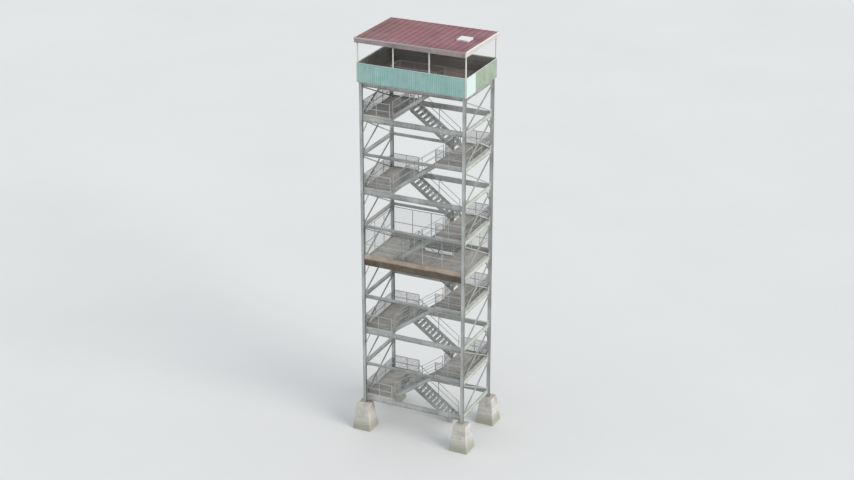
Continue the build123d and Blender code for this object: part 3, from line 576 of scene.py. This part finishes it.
# Stair and landing fixings: short bolted angles join the landings' edge beams to the long beams
# and the stringers' ends to the edge beams, and each handrail post has a sloping foot plate.
edge_metal = 0.009
edge_drop, edge_half = 0.1405, 0.0625
high_drop, high_half, low_drop, low_half = 0.120, 0.055, 0.070, 0.028
rail_line, last_post = 0.032, 1.5974
foot_half_length, foot_half_width, foot_metal, foot_hole, foot_head = 0.062, 0.028, 0.006, 0.042, 0.018
slope = riser / run_length
mesh = bmesh.new()
heads = bmesh.new()
edge_beam_lines = [(-1, level) for level in (1, 3, 5, 7, 9)] + [(1, level) for level in (2, 4, 5, 6, 8)]
for side_x, level in edge_beam_lines:
    for side_y in (-1, 1):
        corner = (side_x * (flight_end + edge_metal), side_y * long_back)
        clip(mesh, heads, corner, (side_x, -side_y), level * storey - edge_drop, edge_half)
for side_y, high_side, flights in ((-1, 1, (2, 4, 6, 8, 10)), (1, -1, (1, 3, 5, 7, 9))):
    for back, turn in ((tread_outer, 1), (tread_inner, -1)):
        web = side_y * (back + turn * stringer_metal)
        y = side_y * (back + turn * rail_line)
        for level in flights:
            clip(mesh, heads, (high_side * flight_end, web), (-high_side, side_y * turn),
                 level * storey - high_drop, high_half)
            if level > 1:
                clip(mesh, heads, (-high_side * flight_end, web), (high_side, side_y * turn),
                     (level - 1) * storey - low_drop, low_half)
            for along in (-last_post, 0.0, last_post):
                foot = block(mesh, (-foot_half_length, y - foot_half_width, 0),
                             (foot_half_length, y + foot_half_width, foot_metal))
                line = level * storey - (flight_end - along) * slope
                for vertex in foot:
                    vertex.co.z += line + vertex.co.x * slope
                    vertex.co.x = high_side * (along + vertex.co.x)
                for step in (-foot_hole, foot_hole):
                    spot = (high_side * (along + step), y, line + step * slope + foot_metal)
                    bolt(heads, spot, (-high_side * slope, 0, 1), foot_head)
bmesh.ops.recalc_face_normals(mesh, faces=mesh.faces)
steel("stair_clips", mesh)
steel("stair_clip_bolts", heads)

# Guard infill and feet: close welded mesh of 25 mm squares in dark wire, fixed in the guards'
# frames between the toe plates and the top rails, and open mesh of 50 mm squares in the storey-high
# screens of the middle platform; each post has a foot plate spiked to the floor.
guard_bar, toe_height = 0.038, 0.10
close_mesh, open_mesh = (0.025, 0.0024), (0.05, 0.0020)
foot_plate, foot_length, foot_width = Vector((0, 0, 0.007)), 0.110, 0.064
spike_line, guard_spike = 0.026, 0.012


def wire_sheet(mesh, start, end, low, high, pitch, wire):
    """Adds an upright sheet of welded mesh between two points of its foot line."""
    start, end = Vector((*start, low)), Vector((*end, low))
    run, rise = end - start, Vector((0, 0, high - low))
    columns, rows = round(run.length / pitch), round((high - low) / pitch)
    for index in range(1, columns):
        foot = start + run * index / columns
        rod(mesh, foot, foot + rise, wire, 4)
    for index in range(1, rows):
        up = rise * index / rows
        rod(mesh, start + up, end + up, wire, 4)


def guard(mesh, feet, start, end, floor_level, height, posts, infill=close_mesh):
    """Adds the infill of one guard frame between its ends, and the foot plates of its posts."""
    wire_sheet(mesh, start, end, floor_level + toe_height, floor_level + height - guard_bar, *infill)
    start, end = Vector((*start, floor_level)), Vector((*end, floor_level))
    run = (end - start).normalized()
    side = Vector((-run.y, run.x, 0))
    reach = (end - start).length - guard_bar
    corner = (run * foot_length + side * foot_width) / 2
    for index in range(posts):
        foot = start + run * (guard_bar / 2 + reach * index / (posts - 1))
        block(feet, foot - corner, foot + corner + foot_plate)
        for turn in (-spike_line, spike_line):
            bolt(feet, foot + side * turn + foot_plate, (0, 0, 1), guard_spike)


guard_side, guard_long, guard_middle = 3.700, 2.250, 1.7124
guard_end_x, guard_end_y, guard_clear = 3.6985, 2.1745, 0.005
guard_height, screen_height = 1.067, 2.300
dark_wire = zinc_finish("dark mesh wire", (0.10, 0.105, 0.10), (0.155, 0.16, 0.155),
                        (0.22, 0.225, 0.215))
feet = bmesh.new()
for side_x, name, guarded in ((-1, "left", (1, 3, 7, 9)), (1, "right", (2, 4, 6, 8))):
    mesh = bmesh.new()
    for level in guarded:
        z = level * storey
        x = side_x * guard_side
        guard(mesh, feet, (x, -guard_end_y), (x, guard_end_y), z, guard_height, 4)
        x = side_x * guard_middle
        guard(mesh, feet, (x, -lane_inner), (x, lane_inner), z, guard_height, 2)
        near, far = sorted((side_x * (flight_end + guard_clear), side_x * guard_end_x))
        for y in (-guard_long, guard_long):
            guard(mesh, feet, (near, y), (far, y), z, guard_height, 3)
    steel(name + "_guard_mesh", mesh, dark_wire)
mesh = bmesh.new()
for side in (-1, 1):
    y, x = side * guard_long, side * guard_side
    guard(mesh, feet, (-guard_end_x, y), (guard_end_x, y), middle_z, screen_height, 6, open_mesh)
    guard(mesh, feet, (x, -guard_end_y), (x, guard_end_y), middle_z, screen_height, 4, open_mesh)
steel("platform_screen_mesh", mesh)
deck_z, lane_outer = 26.416, 2.003
well_x, well_side, well_back, well_front = 1.6714, 0.697, 2.212, 2.039
mesh = bmesh.new()
guard(mesh, feet, (-well_x, well_side), (well_x, well_side), middle_z, guard_height, 4)
guard(mesh, feet, (guard_middle, lane_inner), (guard_middle, well_back), middle_z, guard_height, 2)
for y in (-well_side, -well_front):
    guard(mesh, feet, (-well_x, y), (well_x, y), deck_z, guard_height, 4)
guard(mesh, feet, (-guard_middle, -lane_outer), (-guard_middle, -lane_inner), deck_z, guard_height, 2)
steel("stairwell_guard_mesh", mesh, dark_wire)
steel("guard_feet", feet)


# Edge bands of the middle platform: sheet bands screwed on the beams and standing up as kick
# boards, with a cover strip at each joint, their red-brown paint bleached to a pinkish tan above
# the floor, and a painted shadow darkening them below the floor.
def faded_paint(name, dark, plain, pale, streak_tone, rust_share=0.0, dark_rough=0.6,
                pale_rough=0.42, over=None):
    """Weathered paint: faded patches, washed streaks, scuffs and, where asked, rust; a function
    given as over lays one more colour on it."""
    made, tree, shader, where = new_finish(name)
    fade = grain(tree, where, 0.9, 6)
    tone = ramp(tree, fade, (0.28, dark), (0.5, plain), (0.74, pale))
    streak = patches(tree, where, 1.0, 5, 0.45, 0.75, (7, 7, 0.4))
    tone = mix(tree, times(tree, streak, 0.45), tone, streak_tone)
    scuff = patches(tree, where, 14.0, 8, 0.60, 0.72)
    tone = mix(tree, times(tree, scuff, 0.25), tone, pale)
    if rust_share:
        rust = patches(tree, where, 6.0, 9, 0.70 - rust_share, 0.74 - rust_share)
        tone = mix(tree, rust, tone, (0.28, 0.12, 0.05))
    if over:
        tone = over(tree, where, tone)
    coat(tree, shader, tone, grain(tree, where, 40.0, 5), 0.12, 0.0015,
         ramp(tree, fade, (0.3, dark_rough), (0.7, pale_rough)))
    return made


def shadow_below_floor(tree, where, tone):
    """Painted shadow: a dark tone on a band below the floor, ragged along its upper edge."""
    ragged = times(tree, grain(tree, where, 1.4, 6), 0.22)
    depth = math_node(tree, "SUBTRACT", middle_z + 0.10, coordinate(tree, where, "Z"))
    in_shadow = ramp(tree, math_node(tree, "ADD", depth, ragged), (0.09, 0.0), (0.19, 1.0))
    darkening = ramp(tree, grain(tree, where, 2.2, 8), (0.3, (0.055, 0.045, 0.030)),
                 (0.7, (0.15, 0.105, 0.070)))
    return mix(tree, in_shadow, tone, darkening)


band_paint = faded_paint("faded red-brown paint", (0.28, 0.195, 0.14), (0.385, 0.315, 0.25),
                         (0.49, 0.445, 0.385), (0.34, 0.22, 0.13), 0.04, over=shadow_below_floor)
band_low, band_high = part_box("middle_platform_edge_bands")
strip_half, strip_metal, strip_short = 0.03, 0.002, 0.002
screws, screw_pitch = 25, band_high.x / 12.3
screw_rows = (band_low.z + 0.006, middle_z - 0.044, band_high.z - 0.05)
screw_head, screw_radius = 0.004, 0.007
mesh = eased("middle_platform_edge_bands", 0.003)
heads = bmesh.new()
for side in (-1, 1):
    face = side * band_high.y
    for x in (-band_high.x / 3, band_high.x / 3):
        block(mesh, (x - strip_half, face, band_low.z + strip_short),
              (x + strip_half, face + side * strip_metal, band_high.z - strip_short))
    for index in range(screws):
        x = (index - screws // 2) * screw_pitch
        for z in screw_rows:
            rod(heads, (x, face, z), (x, face + side * screw_head, z), screw_radius)
piece("platform_edge_bands", mesh, band_paint, "edge_band", "middle_platform_edge_bands")
steel("platform_band_screws", heads)


# Deck boards: planks laid across the joists with open joints, worn to a warm grey, their ends
# meeting on two joists in turn, and cut off at the stairwell.
def per_row(tree, place, pitch, start):
    """A random grey for each board or sheet, counted along a coordinate."""
    row = math_node(tree, "FLOOR", math_node(tree, "DIVIDE", math_node(tree, "ADD", place, start), pitch))
    return add(tree, "TexWhiteNoise", {"W": row}, noise_dimensions="1D").outputs["Value"]


def timber_finish(name, scale, stretch, dark, plain, pale, pale_at=0.78, rough=0.85, depth=0.5,
                  rows=None):
    """Bare wood in three tones; rows gives each board a tone of its own, by the axis that the
    boards are counted along, their pitch, their start and the darkest tone."""
    made, tree, shader, where = new_finish(name, Roughness=rough)
    lines = grain(tree, where, scale, 8, stretch)
    tone = ramp(tree, lines, (0.3, dark), (0.55, plain), (pale_at, pale))
    if rows:
        axis, pitch, start, darkest = rows
        each = per_row(tree, coordinate(tree, where, axis), pitch, start)
        tone = mix(tree, 0.5, tone, ramp(tree, each, (0.0, darkest), (1.0, 1.0)), "MULTIPLY")
    coat(tree, shader, tone, lines, depth, 0.002)
    return made


deck_x, deck_y = 3.906, 2.382
board_count = 33
board_pitch = 2 * deck_y / board_count
side_joint, end_joint = 0.006, 0.003
joist_lines = (-2.743, -1.6764, -0.838, 0.0, 0.838, 1.6764, 2.743)
timber = timber_finish("weathered boards", 3.0, (0.6, 14, 14), (0.28, 0.225, 0.20),
                       (0.45, 0.37, 0.335), (0.57, 0.485, 0.445), 0.75,
                       rows=("Y", board_pitch, deck_y, 0.55))
pick = random.Random(4)
mesh = bmesh.new()
for index in range(board_count):
    low_y = -deck_y + index * board_pitch + side_joint / 2
    high_y = low_y + board_pitch - side_joint
    if low_y < -lane_outer < high_y:
        high_y = -lane_outer
    if low_y < -lane_inner < high_y:
        low_y = -lane_inner
    if -lane_outer <= low_y and high_y <= -lane_inner:
        runs = [(-deck_x, -flight_end), (flight_end, deck_x)]
    else:
        ends = [-deck_x, *sorted(pick.sample(joist_lines, 2)), deck_x]
        runs = zip(ends[:-1], ends[1:])
    for near, far in runs:
        block(mesh, (near + end_joint / 2, low_y, deck_z - floor_depth),
              (far - end_joint / 2, high_y, deck_z))
piece("deck_boards", mesh, timber, "deck_plate", "deck_floor")

# Parapet sheets: ribbed steel sheets, 0.9 m wide and lapped, screwed to the girts and painted
# pale green. The right end is painted paler and greyer as painted sunlight, with an almost
# white band at the front.
sheet_width, sheets_start = 0.914, 20.0
rib_profile = ((0.0, 0.0), (0.36, 0.0), (0.46, 1.0), (0.90, 1.0))
rib_pitch, rib_depth, sheet_metal = 0.1524, 0.022, 0.001
girt_face = 0.038
sheet_inset = girt_face - rib_depth - sheet_metal
panel_low, panel_high = 26.142, 27.480
sheet_screw_rows, sheet_screw_head = (panel_low + 0.035, deck_z + 0.475, panel_high - 0.03), 0.006


def sheet_paint(name, dark, plain, pale, along, over=None):
    """Pale green paint that fades sheet by sheet along an axis, with washed streaks and grime at
    its foot; a function given as over lays one more colour on it."""
    made, tree, shader, where = new_finish(name)
    each = per_row(tree, coordinate(tree, where, along), sheet_width, sheets_start)
    fade = grain(tree, where, 1.3, 6)
    tone = ramp(tree, fade, (0.25, dark), (0.5, plain), (0.75, pale))
    tone = mix(tree, 0.22, tone, ramp(tree, each, (0.0, 0.62), (1.0, 1.0)), "MULTIPLY")
    streak = patches(tree, where, 1.0, 5, 0.48, 0.74, (9, 9, 0.5))
    tone = mix(tree, times(tree, streak, 0.3), tone, (0.62, 0.68, 0.62))
    height = math_node(tree, "SUBTRACT", coordinate(tree, where, "Z"), 26.1)
    darkening = times(tree, ramp(tree, height, (0.0, 1.0), (0.22, 0.0)),
                  ramp(tree, grain(tree, where, 5.0, 6), (0.4, 0.1), (0.7, 0.8)))
    tone = mix(tree, darkening, tone, (0.16, 0.21, 0.18))
    if over:
        tone = over(tree, where, tone)
    coat(tree, shader, tone, grain(tree, where, 30.0, 4), 0.08, 0.0015,
         ramp(tree, fade, (0.3, 0.55), (0.7, 0.38)))
    return made


def white_front_band(tree, where, tone):
    """An almost white band on the front part of the right end's sheets, in front of one joint."""
    in_white_band = part_way(tree, coordinate(tree, where, "Y"), -0.945, -0.955)
    return mix(tree, in_white_band, tone, (0.66, 0.78, 0.74))


def ribbed_panel(name, length, out, facing, finish):
    """A run of ribbed sheet with its outer face at that distance from the plan's middle."""
    ribs = round(length / rib_pitch)
    pitch, columns = length / ribs, 4 * ribs
    mesh = bmesh.new()
    bmesh.ops.create_grid(mesh, x_segments=columns, y_segments=1, size=0.5)
    for vertex in mesh.verts:
        index = round((vertex.co.x + 0.5) * columns)
        share, depth = rib_profile[index % 4]
        x = (index // 4 + share) * pitch - length / 2
        z = panel_low if vertex.co.y < 0 else panel_high
        vertex.co = (x, sheet_inset + depth * rib_depth, z)
    bmesh.ops.recalc_face_normals(mesh, faces=mesh.faces)
    if mesh.faces[:][0].normal.y > 0:
        bmesh.ops.reverse_faces(mesh, faces=mesh.faces)
    bmesh.ops.solidify(mesh, geom=mesh.faces, thickness=sheet_metal)
    face = Matrix.Translation((out * facing[0], out * facing[1], 0))
    face @= Matrix(((-facing[1], -facing[0], 0), (facing[0], -facing[1], 0), (0, 0, 1))).to_4x4()
    bmesh.ops.transform(mesh, matrix=face, verts=mesh.verts)
    bmesh.ops.recalc_face_normals(mesh, faces=mesh.faces)
    heads = bmesh.new()
    for index in range(ribs):
        for z in sheet_screw_rows:
            spot = face @ Vector(((index + 0.65) * pitch - length / 2, sheet_inset + rib_depth, z))
            rod(heads, spot, spot + Vector((*facing, 0)) * sheet_screw_head, screw_radius)
    piece(name + "_sheets", mesh, finish, "parapet_paint", name)
    steel(name + "_screws", heads)


green = sheet_paint("pale green paint", (0.25, 0.45, 0.42), (0.31, 0.52, 0.49), (0.40, 0.60, 0.57), "X")
# Painted sunlight: a paler, greyer copy of the green for the sheets of the right end.
sunlit_green = sheet_paint("green paint with painted sunlight", (0.26, 0.345, 0.265), (0.355, 0.435, 0.335),
                        (0.48, 0.535, 0.435), "Y", white_front_band)
face_x, face_y = 4.030, 2.506
ribbed_panel("parapet_panel_front", 2 * face_x, face_y, (0, -1), green)
ribbed_panel("parapet_panel_back", 2 * face_x, face_y, (0, 1), green)
ribbed_panel("parapet_panel_left", 2 * (face_y - girt_face), face_x, (-1, 0), green)
ribbed_panel("parapet_panel_right", 2 * (face_y - girt_face), face_x, (1, 0), sunlit_green)

# Parapet caps, corner trims and roof posts: folded sheet and square tube in off-white paint,
# faded in patches, with washed streaks, scuffs and a little rust.
trim_paint = faded_paint("off-white paint", (0.58, 0.60, 0.55), (0.72, 0.74, 0.69), (0.84, 0.85, 0.81),
                         (0.50, 0.50, 0.43), 0.02)
piece("parapet_cap_rails", eased("parapet_caps", 0.004), trim_paint, "trim_paint", "parapet_caps")
piece("roof_post_tubes", eased("roof_posts", 0.006), trim_paint, "trim_paint", "roof_posts")
trim_x, trim_y = face_x - sheet_inset, face_y - sheet_inset
trim_leg, trim_metal = 0.075, 0.002
mesh = bmesh.new()
for side_x, side_y in corners:
    outer = (side_x * (trim_x + trim_metal), side_y * (trim_y + trim_metal), panel_high)
    block(mesh, (side_x * (trim_x - trim_leg), side_y * trim_y, panel_low), outer)
    block(mesh, (side_x * trim_x, side_y * (trim_y - trim_leg), panel_low), outer)
piece("parapet_corner_trims", mesh, trim_paint, "trim_paint")

# Parapet lining: rough boards nailed across the posts' inner faces up to the cap, with a gap at
# each joint; their grey, darker than the sheets outside, is painted shade for the deck's inside.
lining_timber = timber_finish("grey lining boards", 3.0, (0.7, 0.7, 16), (0.22, 0.21, 0.20),
                              (0.36, 0.35, 0.335), (0.48, 0.465, 0.45), rows=("Z", 1 / 7, 0.0, 0.6))
post_inner_x, post_inner_y = 3.916, 2.392
lining_foot, lining_pitch, lining_width, lining_metal = 26.424, 0.1455, 0.1405, 0.018
end_reach = post_inner_y - lining_metal - 0.001
mesh = bmesh.new()
for index in range(7):
    low_z = lining_foot + index * lining_pitch
    high_z = low_z + lining_width
    for side in (-1, 1):
        block(mesh, (-post_inner_x, side * (post_inner_y - lining_metal), low_z),
              (post_inner_x, side * post_inner_y, high_z))
        block(mesh, (side * (post_inner_x - lining_metal), -end_reach, low_z),
              (side * post_inner_x, end_reach, high_z))
piece("parapet_lining", mesh, lining_timber, "roof_timber")

# Roof timbers: beams held to the posts' heads by bolted plates, rafters deeper at the front and
# close boards with a slight fall to the back, all bare and coloured very dark as painted shade
# under the roof.
beam_timber = timber_finish("dark timber in painted shade", 5.0, (3, 3, 8), (0.10, 0.062, 0.045),
                            (0.17, 0.115, 0.085), (0.26, 0.19, 0.145), rough=0.8, depth=0.4)
dress(beam_timber, "roof_beams", "roof_rafters")
post_head, post_line, post_half = 28.942, 2.430, 0.038
post_places = (-3.954, -1.318, 1.318, 3.954)
plate_half_width, plate_half_height, plate_metal = 0.033, 0.13, 0.005
plate_rows, plate_head = (-0.095, -0.04, 0.04, 0.095), 0.018
mesh = bmesh.new()
for x in post_places:
    for side_y in (-1, 1):
        for turn in (-1, 1):
            face = side_y * post_line + turn * post_half
            plate_face = face + turn * plate_metal
            block(mesh, (x - plate_half_width, face, post_head - plate_half_height),
                  (x + plate_half_width, plate_face, post_head + plate_half_height))
            for up in plate_rows:
                bolt(mesh, (x, plate_face, post_head + up), (0, turn, 0), plate_head)
steel("post_head_plates", mesh)
back_eave_z, roof_fall = 29.246, 0.060
roof_x, roof_y = 4.035, 2.711
roof_depth, roof_metal = 0.030, 0.010
hatch_x, hatch_y, hatch_half = 2.7678, 0.0, 0.350
hatch_left, hatch_right = hatch_x - hatch_half, hatch_x + hatch_half
hatch_front, hatch_back = hatch_y - hatch_half, hatch_y + hatch_half


def on_roof(mesh, first, last, foot, head):
    """Adds a strip that follows the roof's fall, between two heights over its upper face."""
    for vertex in block(mesh, (*first, 0), (*last, 1)):
        surface = back_eave_z + roof_fall * (roof_y - vertex.co.y) / (2 * roof_y)
        vertex.co.z = surface + (head if vertex.co.z > 0.5 else foot)


roof_boards = 38
pitch = 2 * roof_y / roof_boards
mesh = bmesh.new()
for index in range(roof_boards):
    low = -roof_y + index * pitch + 0.001
    high = low + pitch - 0.003
    runs = [(-roof_x, roof_x)]
    if high > hatch_front and low < hatch_back:
        runs = [(-roof_x, hatch_left), (hatch_right, roof_x)]
    for start, end in runs:
        on_roof(mesh, (start, low), (end, high), -roof_depth, -roof_metal)
# The boards share the very dark timber, as painted shade under the roof.
piece("roof_boards", mesh, beam_timber, "roof_timber")

# Roof sheets: steel sheets painted dark red and chalked to a dusky pink, with a standing seam
# every 0.45 m down the fall, and lichen and rust over the left end.
roof_paint, tree, shader, where = new_finish("dark red paint")
fade = grain(tree, where, 0.6, 7)
tone = ramp(tree, fade, (0.25, (0.215, 0.082, 0.096)), (0.5, (0.285, 0.117, 0.136)),
            (0.78, (0.355, 0.172, 0.187)))
run_off = patches(tree, where, 1.0, 5, 0.45, 0.75, (6, 0.5, 1))
tone = mix(tree, times(tree, run_off, 0.3), tone, (0.30, 0.19, 0.19))
lichen = patches(tree, where, 5.0, 8, 0.40, 0.62)
left_end = part_way(tree, coordinate(tree, where, "X"), -2.2, -4.0)
tone = mix(tree, times(tree, lichen, left_end), tone, (0.17, 0.105, 0.075))
coat(tree, shader, tone, grain(tree, where, 3.0, 3), 0.12, 0.01,
     ramp(tree, fade, (0.3, 0.60), (0.7, 0.42)))
mesh = bmesh.new()
for low, high in (((-roof_x, -roof_y), (roof_x, hatch_front)), ((-roof_x, hatch_back), (roof_x, roof_y)),
                  ((-roof_x, hatch_front), (hatch_left, hatch_back)),
                  ((hatch_right, hatch_front), (roof_x, hatch_back))):
    on_roof(mesh, low, high, -roof_metal, 0.0)
seams = 18
seam_clear = hatch_half + 0.10
stem_half, fold_half = 0.006, 0.010
for index in range(1, seams):
    x = -roof_x + index * 2 * roof_x / seams
    spans = [(-roof_y, roof_y)]
    if abs(x - hatch_x) < seam_clear:
        spans = [(-roof_y, hatch_y - seam_clear), (hatch_y + seam_clear, roof_y)]
    for near, far in spans:
        on_roof(mesh, (x - stem_half, near), (x + stem_half, far), -0.002, 0.028)
        on_roof(mesh, (x - fold_half, near), (x + fold_half, far), 0.022, 0.032)
piece("roof_skin", mesh, roof_paint, "roof_paint", "roof_sheet")


# Fascias and drip edges: painted boards round the roof's edge, a dark grey along the front and back
# and creamy at the ends, under a folded white metal edge that is a duller grey along the front.
def cream_ends(tree, where, tone):
    """Cream paint on the boards of the two ends."""
    out_x = math_node(tree, "ABSOLUTE", coordinate(tree, where, "X"))
    cream = ramp(tree, grain(tree, where, 1.6, 7), (0.3, (0.55, 0.485, 0.44)), (0.7, (0.67, 0.60, 0.55)))
    return mix(tree, part_way(tree, out_x, 4.020, 4.034), tone, cream)


def dull_front(tree, where, tone):
    """A duller grey on the front edge, darker towards the right end."""
    front = part_way(tree, coordinate(tree, where, "Y"), -2.655, -2.664)
    along = part_way(tree, coordinate(tree, where, "X"), -4.0, 4.0)
    dull = ramp(tree, along, (0.0, (0.50, 0.46, 0.455)), (0.5, (0.42, 0.375, 0.375)),
                (1.0, (0.37, 0.315, 0.32)))
    return mix(tree, front, tone, dull)


fascia_paint = faded_paint("grey fascia paint", (0.215, 0.165, 0.170), (0.290, 0.230, 0.235),
                           (0.385, 0.325, 0.325), (0.17, 0.135, 0.13), 0.02, over=cream_ends)
piece("roof_fascia_boards", eased("roof_fascias", 0.004), fascia_paint, "trim_paint", "roof_fascias")
white_coat = ((0.70, 0.71, 0.69), (0.80, 0.81, 0.79), (0.87, 0.87, 0.86), (0.58, 0.56, 0.50),
              0.0, 0.45, 0.30)
drip_paint = faded_paint("drip edge paint", *white_coat, over=dull_front)
edge_x, edge_y, edge_sheet = 4.060, 2.736, 0.003
mesh = bmesh.new()
for foot, head, inner in ((-0.048, 0.018, -0.001), (0.014, 0.018, -0.070)):
    for side in (-1, 1):
        on_roof(mesh, (-edge_x - edge_sheet, side * (edge_y + inner)),
                (edge_x + edge_sheet, side * (edge_y + edge_sheet)), foot, head)
        on_roof(mesh, (side * (edge_x + inner), -edge_y), (side * (edge_x + edge_sheet), edge_y),
                foot, head)
piece("roof_drip_edges", mesh, drip_paint, "trim_paint")

# Roof hatch: a boxed curb with a flashing round its foot, and a folded sheet lid with a slightly
# crowned top, hinged at the back and held by a hasp at the front, all painted white.
hatch_white = faded_paint("white hatch paint", (0.78, 0.77, 0.77), (0.86, 0.85, 0.85),
                          (0.90, 0.89, 0.89), (0.70, 0.66, 0.65), 0.0, 0.5, 0.35)
piece("roof_hatch_curb_box", eased("roof_hatch_curb", 0.003), hatch_white, "hatch_paint",
      "roof_hatch_curb")
curb_half = hatch_half + 0.040
apron_out, apron_metal, flashing_foot = 0.055, 0.0025, 0.0005
upstand_metal, upstand_height = 0.003, 0.045
mesh = bmesh.new()
for outer, head in ((curb_half + apron_out, apron_metal), (curb_half + upstand_metal, upstand_height)):
    for side in (-1, 1):
        on_roof(mesh, (hatch_x - outer, hatch_y + side * curb_half),
                (hatch_x + outer, hatch_y + side * outer), flashing_foot, head)
        on_roof(mesh, (hatch_x + side * curb_half, hatch_y - curb_half),
                (hatch_x + side * outer, hatch_y + curb_half), flashing_foot, head)
piece("roof_hatch_flashing", mesh, faded_paint("white metal", *white_coat), "hatch_paint")
lid_low, lid_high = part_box("roof_hatch_lid")
lid_skirt, lid_shoulder, crown_inset, crown_rise, lid_round = 0.025, 0.010, 0.16, 0.007, 0.010
mesh = bmesh.new()
block(mesh, (*lid_low.xy, lid_low.z - lid_skirt), (*lid_high.xy, lid_high.z - lid_shoulder))
top_face = max(mesh.faces, key=lambda face: face.calc_center_median().z)
bmesh.ops.inset_individual(mesh, faces=[top_face], thickness=crown_inset, depth=crown_rise)
bevel(mesh, sharp_edges(mesh), lid_round, 3)
piece("roof_hatch_cover", mesh, hatch_white, "hatch_paint", "roof_hatch_lid")
hinge_out, leaf_half, leaf_metal = 0.26, 0.045, 0.005
pin_half, pin_radius, hasp_half = 0.05, 0.010, 0.022
front, back, pin_z = lid_low.y, lid_high.y, lid_low.z - 0.028
mesh = bmesh.new()
for x in (hatch_x - hinge_out, hatch_x + hinge_out):
    block(mesh, (x - leaf_half, back, lid_low.z - 0.020),
          (x + leaf_half, back + leaf_metal, lid_high.z - 0.016))
    rod(mesh, (x - pin_half, back + pin_radius, pin_z), (x + pin_half, back + pin_radius, pin_z),
        pin_radius, 10)
    block(mesh, (x - leaf_half, back - 0.042, pin_z - 0.034),
          (x + leaf_half, back + 0.006, pin_z - 0.006))
block(mesh, (hatch_x - hasp_half, front - leaf_metal, lid_low.z - 0.060),
      (hatch_x + hasp_half, front, lid_high.z - 0.018))
bolt(mesh, (hatch_x, front - leaf_metal, lid_low.z - 0.040), (0, -1, 0), 0.020)
steel("roof_hatch_fittings", mesh)
